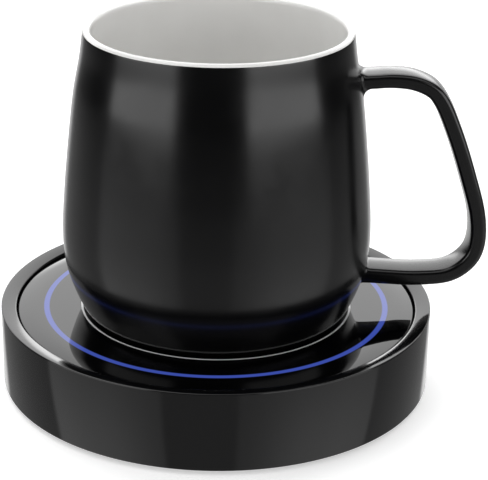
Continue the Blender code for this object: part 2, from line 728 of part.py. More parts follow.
def heater_stack(spreader_look, film_look, felt_look, sensor_look, plate):
    """Aluminium disc, film heater, felt pad, and the sensor and cut-out pressed to them."""
    margin = 0.0004
    disc = cylinder_mesh("heat_spreader", WELL_R + RIB + margin, SPREADER_THICK, INNER_SIDES)
    add_part("heat_spreader", disc, spreader_look, plate, (0, 0, SPREADER_LOW))
    stack_r = WELL_R - margin
    disc = cylinder_mesh("heater_film", stack_r, FILM_THICK, INNER_SIDES)
    film = add_part("heater_film", disc, film_look, plate, (0, 0, FILM_LOW))
    cut(film, guide_cylinder("film_hole", SENSOR_R + GAP, *THROUGH))
    disc = cylinder_mesh("felt_pad", stack_r, FILM_LOW - GAP - FELT_LOW, INNER_SIDES)
    felt = add_part("felt_pad", disc, felt_look, plate, (0, 0, FELT_LOW))
    cut(felt, guide_cylinder("felt_hole", SENSOR_R + GAP, *THROUGH))
    cut(felt, slot_through("felt_lead_slot", FELT_SLOT, HEATER_SLOT_AT))
    cut(felt, slot_through("felt_cutout_slot", CUTOUT_SLOT, (0, CUTOUT_Y)))
    low = CARRIER_TOP + 2 * GAP
    tall = SPREADER_LOW - GAP - low
    sensor = [(0, tall), (SENSOR_R, tall), (SENSOR_R, SENSOR_NECK), (SENSOR_R * 0.6, 0), (0, 0)]
    turn(add_part("temperature_sensor", profile_mesh("temperature_sensor", sensor), sensor_look,
                  plate, (0, 0, low)), 20)
    cutout = add_part("thermal_cutout", cylinder_mesh("thermal_cutout", CUTOUT_R, CUTOUT_LONG, 14),
                      sensor_look, plate,
                      (-CUTOUT_LONG / 2, CUTOUT_Y, FELT_LOW + CUTOUT_R + STEP))
    cutout.rotation_euler.y = math.radians(90)


def light_ring(guide_look, board_look, plate):
    """Ring of lights and the clear ring that carries their light up to the glass."""
    inner, outer = LIGHT_R - LIGHT_WIDTH / 2, LIGHT_R + LIGHT_WIDTH / 2
    inset = 0.0002
    flange_in, flange_out = CHANNEL_RIBS[0] + inset, CHANNEL_RIBS[1] + RIB - inset
    low = RIB_TOP + GAP
    foot = low + LIGHT_FOOT
    profile = [
        (inner, SHELF_TOP), (outer, SHELF_TOP), (outer, foot), (flange_out, foot),
        (flange_out, low), (flange_in, low), (flange_in, foot), (inner, foot),
    ]
    turn(add_part("light_guide", profile_mesh("light_guide", profile), guide_look, plate),
         INNER_SIDES)
    margin = 0.0010
    board_low = CARRIER_TOP + GAP
    board_top = board_low + LIGHT_BOARD_THICK
    ring = [(inner - margin, board_top), (outer + margin, board_top),
            (outer + margin, board_low), (inner - margin, board_low)]
    board = turn(add_part("light_board", profile_mesh("light_board", ring), board_look, plate),
                 INNER_SIDES)
    for i in range(LED_COUNT):
        angle = 360 * (i + 0.5) / LED_COUNT
        led = guide_box(f"led_{i}", LED_SIZE, polar(LIGHT_R, angle), board_top - SOLDERED,
                        math.radians(angle))
        join(board, led)


def body_profile():
    """The mug's whole section: up the inside, over the lip, down the outside to the foot."""
    lip = arc((LIP_MID_R, MUG_CROWN - LIP_R), LIP_R, 180, 0, 4)[1:-1]
    foot_inner = FOOT_R - FOOT_WIDTH
    foot = [
        BODY_FOOT, (FOOT_R, GAP), (foot_inner, GAP), (foot_inner - FOOT_SLOPE, MUG_UNDERSIDE),
        (0, MUG_UNDERSIDE),
    ]
    return [(0, MUG_FLOOR), *BODY_INSIDE, *lip, *curve_through(BODY_OUTSIDE, 2), *foot]


def body_radius(height):
    """Outside radius of the mug's body at a height above the glass."""
    outline = curve_through(BODY_OUTSIDE, 6)
    for (r1, z1), (r2, z2) in zip(outline, outline[1:]):
        if z2 <= height <= z1:
            return r2 + (r1 - r2) * (height - z2) / (z1 - z2)
    return outline[0][0]


def rounded_section(width, thick, corner, steps):
    """(along Y, outwards) points of a rectangle with round corners."""
    points = []
    for i, (side, out) in enumerate(((1, 1), (-1, 1), (-1, -1), (1, -1))):
        centre = (side * (width / 2 - corner), out * (thick / 2 - corner))
        points += arc(centre, corner, 90 * i, 90 * i + 90, steps)
    return points


def fillet_growth(fillet, centre):
    """How far a root's fillet stands out from the strap at a point of its path."""
    near = min(max(fillet - centre.x + body_radius(centre.z), 0), fillet)
    return fillet - math.sqrt(fillet ** 2 - near ** 2)


def handle_mesh():
    """Strap handle: one section drawn along its path, growing into a fillet at each root.
    Under its upper root, where the weight hangs, the fillet is larger."""
    path = [Vector((x, 0, z)) for x, z in curve_through(HANDLE_PATH, 2)]
    bm = bmesh.new()
    rings = []
    for i, centre in enumerate(path):
        before, after = path[max(i - 1, 0)], path[min(i + 1, len(path) - 1)]
        along = (after - before).normalized()
        outwards = Vector((-along.z, 0, along.x))
        fallen = i / (len(path) - 1)
        thick = HANDLE_THICK_TOP + fallen * (HANDLE_THICK_LOW - HANDLE_THICK_TOP)
        side = fillet_growth(HANDLE_FILLET, centre)
        under = fillet_growth(HANDLE_FILLET_UNDER, centre) if fallen < 0.5 else side
        middle = centre + outwards * (side - under) / 2
        section = rounded_section(HANDLE_WIDTH + 2 * side, thick + side + under,
                                  HANDLE_CORNER + side, 2)
        rings.append([bm.verts.new(middle + Vector((0, y, 0)) + outwards * out)
                      for y, out in section])
    for a, b in zip(rings, rings[1:]):
        for j in range(len(a)):
            k = (j + 1) % len(a)
            bm.faces.new((a[j], a[k], b[k], b[j]))
    bm.faces.new(rings[0])
    bm.faces.new(reversed(rings[-1]))
    bmesh.ops.recalc_face_normals(bm, faces=bm.faces)
    return mesh_from(bm, "handle")


def mug(look, mug_joint):
    """Stoneware mug: the turned body with its strap handle joined to it."""
    body = turn(add_part("mug", profile_mesh("mug", body_profile()), look, mug_joint), MUG_SIDES)
    handle = add_guide("handle", handle_mesh())
    handle.parent = mug_joint
    return join(body, handle)


def build():
    black = finish("gloss_black_plastic", (0.012, 0.012, 0.013), 0.12)
    plain = finish("matt_black_plastic", (0.020, 0.020, 0.022), 0.55)
    silicone = finish("black_silicone", (0.018, 0.018, 0.019), 0.75)
    glass = finish("black_glass", (0.006, 0.006, 0.008), 0.03)
    nylon = finish("grey_nylon", (0.10, 0.10, 0.11), 0.50)
    steel = finish("zinc_steel", (0.60, 0.60, 0.58), 0.30, 1.0)
    spring_steel = finish("spring_steel", (0.50, 0.50, 0.52), 0.25, 1.0)
    aluminium = finish("aluminium", (0.80, 0.80, 0.81), 0.35, 1.0)
    film = finish("heater_film", (0.48, 0.17, 0.02), 0.35)
    felt = finish("ceramic_felt", (0.78, 0.76, 0.70), 0.95)
    brass = finish("brass", (0.70, 0.52, 0.22), 0.30, 1.0)
    clear = finish("frosted_clear", (0.80, 0.84, 0.90), 0.30)
    green = finish("green_board", (0.02, 0.13, 0.05), 0.40)
    white_board = finish("white_board", (0.75, 0.75, 0.73), 0.45)
    ivory = finish("ivory_plastic", (0.72, 0.68, 0.58), 0.50)
    blue_sleeve = finish("blue_sleeve", (0.02, 0.05, 0.25), 0.35)
    red_lead = finish("red_lead", (0.45, 0.02, 0.02), 0.45)
    grey_lead = finish("grey_lead", (0.35, 0.35, 0.36), 0.50)
    glaze = finish("black_glaze", (0.014, 0.014, 0.015), 0.35)

    plate = joint_empty("plate_travel", (0, 0, 0))
    mug_joint = joint_empty("mug_lift", (0, 0, GLASS_TOP), plate)
    plunger_joint = joint_empty("plunger_travel", (*SWITCH_AT, PIECE_LOW))

    housing_shell(black)
    bottom_cover(plain)
    non_slip_pad(silicone)
    case_screws(steel)
    control_board(green)
    board_screws(steel)
    board_pieces(plain, ivory, blue_sleeve)
    dc_inlet(plain, brass)
    switch(plain, nylon, plunger_joint)
    plate_springs(spring_steel)
    leads(red_lead, grey_lead)
    plate_carrier(nylon, plate)
    retaining_screws(steel, plate)
    glass_plate(glass, plate)
    heater_stack(aluminium, film, felt, brass, plate)
    light_ring(clear, white_board, plate)
    mug(glaze, mug_joint)


build()
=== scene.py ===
# %% [markdown]
# # A mug warmer with its mug
#
# A low, round warmer in gloss black plastic stands on a table. Its top is a glass plate with
# a ring of blue light, and a satin black mug with a white glazed inside stands on the glass.
#
# The working model comes first: it holds every piece at its real size, and the joints. It
# could be shown as it is, but its round pieces have few sides. So this lesson turns finer
# ones at the same sizes, gives every piece its finish, and then sets up a small studio.

# %% Load the working model
import json
import math

import bmesh
import bpy
from mathutils import Matrix, Vector
from mathutils.geometry import interpolate_bezier

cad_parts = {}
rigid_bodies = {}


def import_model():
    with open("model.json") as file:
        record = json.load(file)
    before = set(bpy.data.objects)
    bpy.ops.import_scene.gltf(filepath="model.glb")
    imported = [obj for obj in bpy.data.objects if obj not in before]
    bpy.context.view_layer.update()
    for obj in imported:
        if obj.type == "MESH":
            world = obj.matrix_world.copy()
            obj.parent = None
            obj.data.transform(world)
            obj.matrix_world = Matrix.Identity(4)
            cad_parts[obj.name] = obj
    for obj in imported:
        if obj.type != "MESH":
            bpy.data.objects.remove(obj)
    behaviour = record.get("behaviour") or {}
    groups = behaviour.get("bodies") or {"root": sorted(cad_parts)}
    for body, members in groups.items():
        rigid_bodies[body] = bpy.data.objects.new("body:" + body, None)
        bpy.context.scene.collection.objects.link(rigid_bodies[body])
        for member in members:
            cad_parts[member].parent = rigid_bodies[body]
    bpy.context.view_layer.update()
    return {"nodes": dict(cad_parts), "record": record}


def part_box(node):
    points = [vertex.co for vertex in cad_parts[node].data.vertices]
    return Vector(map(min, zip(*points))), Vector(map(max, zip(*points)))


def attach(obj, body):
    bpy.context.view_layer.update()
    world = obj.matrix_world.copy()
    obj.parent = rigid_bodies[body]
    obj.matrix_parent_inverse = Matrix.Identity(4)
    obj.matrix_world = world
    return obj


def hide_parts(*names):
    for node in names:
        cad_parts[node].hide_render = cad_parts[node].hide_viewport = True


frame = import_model()

# %% [markdown]
# ## Sizes
#
# A size that the model already holds is read from it, so that the fine pieces sit exactly
# where the plain ones do. The rest are the small roundings that a mould or a glaze leaves,
# which only the fine pieces have.

# %% Read the sizes
MM = 0.001
shell_low, shell_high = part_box("housing_shell")
glass_low, glass_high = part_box("glass_plate")
pad_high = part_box("non_slip_pad")[1]
BASE_R = shell_high.y
RIM_TOP = shell_high.z
WALL_FOOT = shell_low.z
GLASS_R = glass_high.x
GLASS_TOP = glass_high.z
print(f"warmer {2 * BASE_R / MM:.1f} mm across and {RIM_TOP / MM:.1f} mm tall")

# %% [markdown]
# ## Finishes
#
# Each finish is one Principled shader. Numbers that hold all over a surface sit on the
# shader itself. What varies, such as a slight difference in gloss or a fine grain, comes
# from noise measured in millimetres on the piece, so it stays put from every side. A photo
# texture could do this too, but noise needs no seams and stays sharp close up.

# %% Helpers for a finish
looks = {}


def new_look(name, colour, roughness, **numbers):
    """A finish with its plain numbers on the shader's own sockets."""
    material = bpy.data.materials.new(name)
    material.use_nodes = True
    shader = material.node_tree.nodes["Principled BSDF"]
    shader.inputs["Base Color"].default_value = (*colour, 1)
    shader.inputs["Roughness"].default_value = roughness
    for socket, value in numbers.items():
        shader.inputs[socket.replace("_", " ")].default_value = value
    material.diffuse_color = (*colour, 1)
    looks[name] = material
    return material


def set_input(owner, socket, value):
    """Give a socket a plain value, or link another node's output to it."""
    if isinstance(value, bpy.types.NodeSocket):
        owner.node_tree.links.new(value, socket)
    else:
        socket.default_value = value


def add_node(owner, kind, **inputs):
    """A node for a finish or for the world, with values or links on its inputs."""
    node = owner.node_tree.nodes.new(kind)
    for name, value in inputs.items():
        set_input(owner, node.inputs[name.replace("_", " ")], value)
    return node


def feed(material, socket, output):
    """Drive a socket of the material's shader with another node's output."""
    shader = material.node_tree.nodes["Principled BSDF"]
    set_input(material, shader.inputs[socket], output)


print("ready to make finishes")

# %% Helpers for noise
def noise(material, size, detail=2.0, stretch=(1, 1, 1)):
    """Soft noise whose blotches are about that size, in metres."""
    place = add_node(material, "ShaderNodeTexCoord").outputs["Object"]
    spread = add_node(material, "ShaderNodeMapping", Vector=place, Scale=stretch)
    made = add_node(material, "ShaderNodeTexNoise", Vector=spread.outputs["Vector"],
                    Scale=1 / size, Detail=detail)
    return made.outputs["Fac"]


def between(material, value, low, high, start=0.3, end=0.7):
    """Stretch a value to run from one number to another."""
    made = add_node(material, "ShaderNodeMapRange", Value=value, From_Min=start, From_Max=end,
                    To_Min=low, To_Max=high)
    return made.outputs["Result"]


def uneven_gloss(material, size, low, high, stretch=(1, 1, 1)):
    """Roughness that wanders between two values."""
    share = noise(material, size, detail=3.0, stretch=stretch)
    feed(material, "Roughness", between(material, share, low, high))


def grain(material, size, height, detail=2.0, stretch=(1, 1, 1)):
    """Relief from noise: blotches of that size that stand out by that height."""
    bump = add_node(material, "ShaderNodeBump", Height=noise(material, size, detail, stretch),
                    Strength=1.0, Distance=height)
    feed(material, "Normal", bump.outputs["Normal"])


print("ready to vary gloss and relief")

# %% [markdown]
# ### Gloss black plastic and black glass
#
# The housing is moulded in a polished tool, so it mirrors the room almost sharply. Real
# mouldings have a very faint ripple, and hands leave a film that dulls them in patches.
# The glass is flatter still. Its underside is printed black and lets nothing through, so a
# dark mirror does, where clear glass over a black sheet would need many more rays.

# %% Make the two gloss finishes
gloss_plastic = new_look("gloss_black_plastic", (0.0025, 0.0025, 0.0027), 0.08)
uneven_gloss(gloss_plastic, 9 * MM, 0.05, 0.10)
grain(gloss_plastic, 4 * MM, 0.004 * MM)

black_glass = new_look("black_glass", (0.001, 0.001, 0.0012), 0.02, IOR=1.5)
uneven_gloss(black_glass, 14 * MM, 0.008, 0.03)

print("gloss finishes:", sorted(looks))

# %% [markdown]
# ### The two rings in the glass
#
# The thin silver ring round the mug's place is screen print, and the blue ring is a gap in
# the black print that the lights shine through. Both lie under the glass, so both keep its
# clear gloss on top. A coat over a duller base gives exactly that. The light fades over a
# fraction of a millimetre at the ring's edges, so its strength follows the distance from
# the middle of the ring.

# %% Helpers for sums and blends
def calculate(owner, operation, *values):
    """One sum in a node tree, from numbers or other nodes' outputs."""
    node = add_node(owner, "ShaderNodeMath")
    node.operation = operation
    for socket, value in zip(node.inputs, values):
        set_input(owner, socket, value)
    return node.outputs["Value"]


def blend(material, share, first, second):
    """A colour that goes from the first to the second as the share goes from 0 to 1."""
    mix = add_node(material, "ShaderNodeMix")
    mix.data_type = "RGBA"
    set_input(material, mix.inputs["Factor"], share)
    mix.inputs[6].default_value = (*first, 1)
    mix.inputs[7].default_value = (*second, 1)
    return mix.outputs[2]


print("ready to reckon and blend in nodes")

# %% Make the print and the light
PRINT_R = 40.7 * MM
PRINT_HALF = 0.30 * MM
LIGHT_R = 51.4 * MM
LIGHT_HALF = 0.75 * MM
LIGHT_FADE = 0.2 * MM
NO_LIGHT = (0, 0, 0)
BLUE_LIGHT = (0.040, 0.070, 0.370)

silver_print = new_look("silver_print", (0.93, 0.935, 0.94), 0.45, Coat_Weight=1.0,
                        Coat_Roughness=0.02)
uneven_gloss(silver_print, 0.6 * MM, 0.38, 0.52)

light_window = new_look("light_window", (0.006, 0.008, 0.02), 0.02, Emission_Strength=1.0)
place = add_node(light_window, "ShaderNodeTexCoord").outputs["Object"]
level_place = add_node(light_window, "ShaderNodeMapping", Vector=place, Scale=(1, 1, 0))
from_axis = add_node(light_window, "ShaderNodeVectorMath", Vector=level_place.outputs["Vector"])
from_axis.operation = "LENGTH"
past_ring = calculate(light_window, "SUBTRACT", from_axis.outputs["Value"], LIGHT_R)
off_middle = calculate(light_window, "ABSOLUTE", past_ring)
lit_share = between(light_window, off_middle, 1, 0, LIGHT_HALF - LIGHT_FADE / 2,
                    LIGHT_HALF + LIGHT_FADE)
feed(light_window, "Emission Color", blend(light_window, lit_share, NO_LIGHT, BLUE_LIGHT))
print(f"light ring {2 * LIGHT_R / MM:.1f} mm across, print ring {2 * PRINT_R / MM:.1f} mm")

# %% [markdown]
# ### Glazes
#
# The mug is stoneware. Outside it has a satin black glaze with a fine, soft tooth, inside
# and over the lip a shiny white one, and the foot ring is wiped bare before firing so that
# it doesn't stick to the kiln shelf. Each is a finish of its own, because one finish that
# changed along the wall would need a mask.

# %% Make the glazes
def uneven_colour(material, size, first, second, stretch=(1, 1, 1)):
    """A colour that wanders between two close tones."""
    share = between(material, noise(material, size, detail=4.0, stretch=stretch), 0, 1)
    feed(material, "Base Color", blend(material, share, first, second))


black_glaze = new_look("black_glaze", (0.0025, 0.0025, 0.0027), 0.20)
uneven_gloss(black_glaze, 7 * MM, 0.18, 0.22)
grain(black_glaze, 0.5 * MM, 0.004 * MM, detail=3.0)

white_glaze = new_look("white_glaze", (0.84, 0.835, 0.82), 0.12)
uneven_colour(white_glaze, 11 * MM, (0.85, 0.845, 0.83), (0.825, 0.82, 0.805))
uneven_gloss(white_glaze, 5 * MM, 0.08, 0.16)

bare_clay = new_look("bare_clay", (0.45, 0.38, 0.31), 0.85)
uneven_colour(bare_clay, 0.8 * MM, (0.48, 0.41, 0.34), (0.36, 0.30, 0.24))
grain(bare_clay, 0.3 * MM, 0.03 * MM, detail=4.0)
print("glazes ready")

# %% [markdown]
# ### Hidden and lower finishes
#
# The cover has a spark-eroded texture, the pad is dull silicone, and the pieces inside have
# the finishes of ordinary hardware. Most of them never show while the warmer is closed, but
# each is finished, so that the set can be taken apart and looked at. They differ only in
# tone, gloss and grain, so one helper makes them all.

# %% Make the plastics and rubber
LIGHTER, DARKER = 1.12, 0.90
SHINIER, DULLER = 0.05, 0.07


def fine_plastic(name, colour, roughness, size, height):
    """A moulded plastic: fine texture, and a tone that varies a little."""
    material = new_look(name, colour, roughness)
    uneven_colour(material, 6 * MM, [c * LIGHTER for c in colour], [c * DARKER for c in colour])
    uneven_gloss(material, 2 * MM, roughness - SHINIER, roughness + DULLER)
    grain(material, size, height, detail=4.0)
    return material


matt_plastic = fine_plastic("matt_black_plastic", (0.020, 0.020, 0.022), 0.55, 0.35 * MM,
                            0.02 * MM)
silicone = fine_plastic("black_silicone", (0.018, 0.018, 0.019), 0.72, 0.20 * MM, 0.01 * MM)
fine_plastic("grey_nylon", (0.10, 0.10, 0.11), 0.50, 0.30 * MM, 0.01 * MM)
fine_plastic("ivory_plastic", (0.72, 0.68, 0.58), 0.50, 0.30 * MM, 0.01 * MM)
fine_plastic("blue_sleeve", (0.02, 0.05, 0.25), 0.35, 0.60 * MM, 0.01 * MM)
fine_plastic("red_lead", (0.45, 0.02, 0.02), 0.45, 0.25 * MM, 0.01 * MM)
fine_plastic("grey_lead", (0.35, 0.35, 0.36), 0.50, 0.25 * MM, 0.01 * MM)
fine_plastic("frosted_clear", (0.80, 0.84, 0.90), 0.30, 0.15 * MM, 0.01 * MM)
fine_plastic("heater_film", (0.48, 0.17, 0.02), 0.35, 0.90 * MM, 0.01 * MM)
fine_plastic("green_board", (0.02, 0.13, 0.05), 0.38, 0.70 * MM, 0.02 * MM)
fine_plastic("white_board", (0.75, 0.75, 0.73), 0.42, 0.50 * MM, 0.01 * MM)
fine_plastic("ceramic_felt", (0.78, 0.76, 0.70), 0.90, 0.25 * MM, 0.12 * MM)
print("plastics, boards and felt ready")

# %% [markdown]
# ### Metals
#
# Metal shows how it was worked: a spring or a drawn pin has fine marks along its length, and
# a rolled sheet has them one way. So the noise is stretched along the work. Plated steel has
# none. Anisotropy would give the same sheen from afar, but no marks close up.

# %% Make the metals
WORN = 0.88


def bare_metal(name, colour, low, high, stretch, height):
    """Metal with fine marks, drawn out along the way that it was worked."""
    material = new_look(name, colour, (low + high) / 2, Metallic=1.0)
    uneven_gloss(material, 0.4 * MM, low, high, stretch)
    uneven_colour(material, 3 * MM, colour, [c * WORN for c in colour], stretch)
    grain(material, 0.3 * MM, height, detail=3.0, stretch=stretch)
    return material


zinc_steel = bare_metal("zinc_steel", (0.60, 0.60, 0.58), 0.22, 0.38, (1, 1, 1), 0.004 * MM)
bare_metal("spring_steel", (0.50, 0.50, 0.52), 0.18, 0.32, (1, 1, 0.3), 0.003 * MM)
bare_metal("aluminium", (0.80, 0.80, 0.81), 0.28, 0.42, (0.08, 1, 1), 0.004 * MM)
brass = bare_metal("brass", (0.70, 0.52, 0.22), 0.22, 0.36, (1, 0.2, 1), 0.003 * MM)
print(f"{len(looks)} finishes in all")

# %% [markdown]
# ## Turning
#
# Nearly every visible piece is round about one upright line, so one tool makes most of
# them. A flat face is drawn as half the section, its corners are rounded with a bevel on
# the corner points, its rim is swung round the axis with Spin, and the doubles that meet on
# the axis are merged. A Screw modifier would do the same, but the operator leaves a plain
# mesh that can be cut and joined at once.

# %% The turning tool
TURN_STEPS = 160
MERGE = 0.001 * MM


def is_on_axis(edge):
    """Whether an edge of the section lies on the axis, where the turned solid is whole."""
    return all(abs(vert.co.x) < MERGE / 10 for vert in edge.verts)


def draw_section(bm, corners, rounding_steps):
    """Half a section in the XZ plane, from (radius, height, rounding) corners."""
    verts = [bm.verts.new((r, 0, z)) for r, z, _ in corners]
    bm.faces.new(verts)
    for size in sorted({size for _, _, size in corners if size > 0}):
        picked = [v for v, (_, _, own) in zip(verts, corners) if own == size]
        bmesh.ops.bevel(bm, geom=picked, offset=size, affect="VERTICES",
                        segments=rounding_steps, profile=0.5, material=-1)
    bmesh.ops.delete(bm, geom=bm.faces[:], context="FACES_KEEP_BOUNDARY")
    bmesh.ops.delete(bm, geom=[e for e in bm.edges if is_on_axis(e)], context="EDGES")


def turned(corners, steps=TURN_STEPS, rounding_steps=4):
    """A closed round solid from half its section."""
    bm = bmesh.new()
    draw_section(bm, corners, rounding_steps)
    bmesh.ops.spin(bm, geom=bm.verts[:] + bm.edges[:], cent=(0, 0, 0), axis=(0, 0, 1),
                   dvec=(0, 0, 0), angle=math.tau, steps=steps, use_merge=True,
                   use_duplicate=False)
    bmesh.ops.remove_doubles(bm, verts=bm.verts, dist=MERGE)
    bmesh.ops.recalc_face_normals(bm, faces=bm.faces)
    return bm


print(f"a full turn has {TURN_STEPS} steps")

# %% Make a mesh a named piece
SHARP = math.radians(32)


def open_edges(bm):
    """How many edges don't join two faces. A closed mesh has none."""
    return sum(1 for e in bm.edges if len(e.link_faces) != 2)


def smooth(mesh):
    """Shade smoothly, but keep real corners crisp."""
    mesh.shade_smooth()
    mesh.set_sharp_from_angle(angle=SHARP)


def finished(name, bm, materials, body, stands_for):
    """Make the mesh a named piece that rides a body and stands for a plain one."""
    mesh = bpy.data.meshes.new(name)
    print(f"{name}: {len(bm.faces)} faces, {open_edges(bm)} open edges")
    bm.to_mesh(mesh)
    bm.free()
    smooth(mesh)
    for material in materials:
        mesh.materials.append(material)
    piece = bpy.data.objects.new(name, mesh)
    bpy.context.scene.collection.objects.link(piece)
    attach(piece, body)
    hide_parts(*stands_for)
    return piece


print(f"corners over {math.degrees(SHARP):.0f} degrees stay crisp")

# %% [markdown]
# ## Cutting and welding
#
# Screw bosses, posts and holes don't run round the axis, so they can't be turned with the
# rest. Plain cylinders and boxes are welded on, or cut out, with Boolean modifiers, and the
# result is kept as a plain mesh. Knitting each hole into the mesh by hand would leave
# tidier faces, but takes far longer. A cut leaves doubled points and slivers, so every cut
# piece is cleaned up and split into even triangles.

# %% Helpers to cut and weld
TOOL_SIDES = 48


def cylinder_tool(radius, low, high, at, sides=TOOL_SIDES):
    """An upright cylinder to cut or weld with."""
    bm = bmesh.new()
    bmesh.ops.create_cone(bm, cap_ends=True, segments=sides, radius1=radius, radius2=radius,
                          depth=high - low)
    bmesh.ops.translate(bm, verts=bm.verts, vec=(*at, (low + high) / 2))
    return bm


def box_tool(size, centre, turn=0.0):
    """A box to cut or weld with, turned round its own upright axis."""
    bm = bmesh.new()
    bmesh.ops.create_cube(bm, size=1)
    bmesh.ops.scale(bm, verts=bm.verts, vec=size)
    bmesh.ops.rotate(bm, verts=bm.verts, cent=(0, 0, 0), matrix=Matrix.Rotation(turn, 3, "Z"))
    bmesh.ops.translate(bm, verts=bm.verts, vec=centre)
    return bm


def clean_up(mesh):
    """Merge doubles, drop slivers and split every face into even triangles."""
    bm = bmesh.new()
    bm.from_mesh(mesh)
    bmesh.ops.remove_doubles(bm, verts=bm.verts, dist=MERGE)
    bmesh.ops.dissolve_degenerate(bm, edges=bm.edges, dist=MERGE)
    bmesh.ops.triangulate(bm, faces=bm.faces, quad_method="BEAUTY", ngon_method="BEAUTY")
    bm.to_mesh(mesh)
    bm.free()


def combine(piece, tools, operation):
    """Cut the tools out of the piece, or weld them to it, and keep the result."""
    used = []
    for bm in tools:
        mesh = bpy.data.meshes.new("tool")
        bm.to_mesh(mesh)
        bm.free()
        tool = bpy.data.objects.new("tool", mesh)
        bpy.context.scene.collection.objects.link(tool)
        step = piece.modifiers.new("combine", "BOOLEAN")
        step.operation = operation
        step.object = tool
        step.solver = "EXACT"
        used.append(tool)
    bpy.context.view_layer.update()
    shaped = piece.evaluated_get(bpy.context.evaluated_depsgraph_get())
    result = bpy.data.meshes.new_from_object(shaped)
    piece.modifiers.clear()
    plain = piece.data
    piece.data = result
    result.name = plain.name
    bpy.data.meshes.remove(plain)
    for tool in used:
        bpy.data.objects.remove(tool)
    clean_up(result)
    smooth(result)


def around(radius, degrees):
    """A place on a circle round the axis."""
    turn = math.radians(degrees)
    return radius * math.cos(turn), radius * math.sin(turn)


print(f"round tools have {TOOL_SIDES} sides")

# %% [markdown]
# ## The housing
#
# One moulding makes the side wall and the rim. Its rim falls a little towards the glass and
# both of its edges are eased, which draws two thin lines of light round the top. A cylinder
# with a hole would have neither. Inside it has a step for the cover and four screw bosses.

# %% Turn the housing
GAP = 0.3 * MM
WALL = 2.2 * MM
RIM_INNER_R = 60.5 * MM
RIM_FALL = 0.82 * MM
RIM_THICK = 2.6 * MM
SKIRT_R = RIM_INNER_R + 1.2 * MM
SKIRT_LOW = 19.0 * MM
COVER_R = 63.3 * MM
COVER_TOP = WALL_FOOT + 2.4 * MM
STEP_R = COVER_R + GAP
STEP_TOP = COVER_TOP + GAP
housing_section = [
    (RIM_INNER_R, RIM_TOP - RIM_FALL, 0.38 * MM),
    (BASE_R, RIM_TOP, 0.42 * MM),
    (BASE_R, WALL_FOOT, 0.40 * MM),
    (STEP_R, WALL_FOOT, 0),
    (STEP_R, STEP_TOP, 0),
    (BASE_R - WALL, STEP_TOP, 0),
    (BASE_R - WALL, RIM_TOP - RIM_THICK, 0.5 * MM),
    (SKIRT_R, RIM_TOP - RIM_THICK, 0.5 * MM),
    (SKIRT_R, SKIRT_LOW, 0.2 * MM),
    (RIM_INNER_R, SKIRT_LOW, 0.2 * MM),
]
housing = finished("warmer_housing", turned(housing_section), [gloss_plastic], "root",
                   ["housing_shell"])

# %% [markdown]
# ### Bosses and the hole for the inlet
#
# The bosses are welded to the wall, each with a web that stiffens it, and bored for its
# screw. The power inlet's hole is cut through the back. All are welded before any is bored,
# so that no weld can fill a hole.

# %% Weld the bosses
SCREW_R = 58.4 * MM
SCREW_ANGLES = (45, 135, 225, 315)
BOSS_R = 3.2 * MM
BOSS_TOP = 12.4 * MM
WEB_LONG = 4.5 * MM
WEB_THICK = 1.6 * MM
WEB_OUT = 3.5 * MM
WEB_SHORTER = 0.4 * MM
bosses = []
for angle in SCREW_ANGLES:
    bosses.append(cylinder_tool(BOSS_R, STEP_TOP, BOSS_TOP, around(SCREW_R, angle)))
    web = (WEB_LONG, WEB_THICK, BOSS_TOP - STEP_TOP - WEB_SHORTER)
    web_at = (*around(SCREW_R + WEB_OUT, angle), (STEP_TOP + BOSS_TOP) / 2)
    bosses.append(box_tool(web, web_at, math.radians(angle)))
combine(housing, bosses, "UNION")
print(f"{len(SCREW_ANGLES)} bosses welded on")

# %% Bore the bosses and cut the inlet's hole
PILOT_R = 1.4 * MM
PILOT_LOW, PILOT_TOP = 3.0 * MM, 10.5 * MM
inlet_low, inlet_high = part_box("dc_inlet")
COLLAR_R = (inlet_high.z - inlet_low.z) / 2
INLET_Z = (inlet_high.z + inlet_low.z) / 2
INLET_SIDES = 64
HOLE_HALF = 5 * MM
HOLE_Y = BASE_R - 1 * MM
lay_along_y = Matrix.Rotation(math.radians(90), 3, "X")
pilots = [cylinder_tool(PILOT_R, PILOT_LOW, PILOT_TOP, around(SCREW_R, angle))
          for angle in SCREW_ANGLES]
hole = cylinder_tool(COLLAR_R + GAP, -HOLE_HALF, HOLE_HALF, (0, 0), INLET_SIDES)
bmesh.ops.rotate(hole, verts=hole.verts, cent=(0, 0, 0), matrix=lay_along_y)
bmesh.ops.translate(hole, verts=hole.verts, vec=(0, HOLE_Y, INLET_Z))
combine(housing, [*pilots, hole], "DIFFERENCE")
print(f"housing has {len(housing.data.polygons)} faces after cutting")

# %% [markdown]
# ## The glass top
#
# The plate is 3 mm glass with a ground edge. Its print is drawn as rings of faces in the
# top rather than as a pattern, so each ring has a crisp border at any distance.

# %% Turn the glass
GLASS_SIDES = 192
# the window's faces reach a little past the place where the light has faded
WINDOW_HALF = LIGHT_HALF + LIGHT_FADE * 1.2
glass_section = [
    (0, GLASS_TOP, 0),
    (PRINT_R - PRINT_HALF, GLASS_TOP, 0),
    (PRINT_R + PRINT_HALF, GLASS_TOP, 0),
    (LIGHT_R - WINDOW_HALF, GLASS_TOP, 0),
    (LIGHT_R + WINDOW_HALF, GLASS_TOP, 0),
    (GLASS_R, GLASS_TOP, 0.5 * MM),
    (GLASS_R, glass_low.z, 0.3 * MM),
    (0, glass_low.z, 0),
]
glass_bm = turned(glass_section, GLASS_SIDES, rounding_steps=3)
glass = finished("glass_top", glass_bm, [black_glass, silver_print, light_window], "plate",
                 ["glass_plate"])

# %% Print the rings
PRINT_SLOT, LIGHT_SLOT = 1, 2


def paint(piece, index, test):
    """Give every face whose middle passes the test another finish."""
    count = 0
    for face in piece.data.polygons:
        radius = math.hypot(face.center.x, face.center.y)
        if test(radius, face.center.z):
            face.material_index = index
            count += 1
    return count


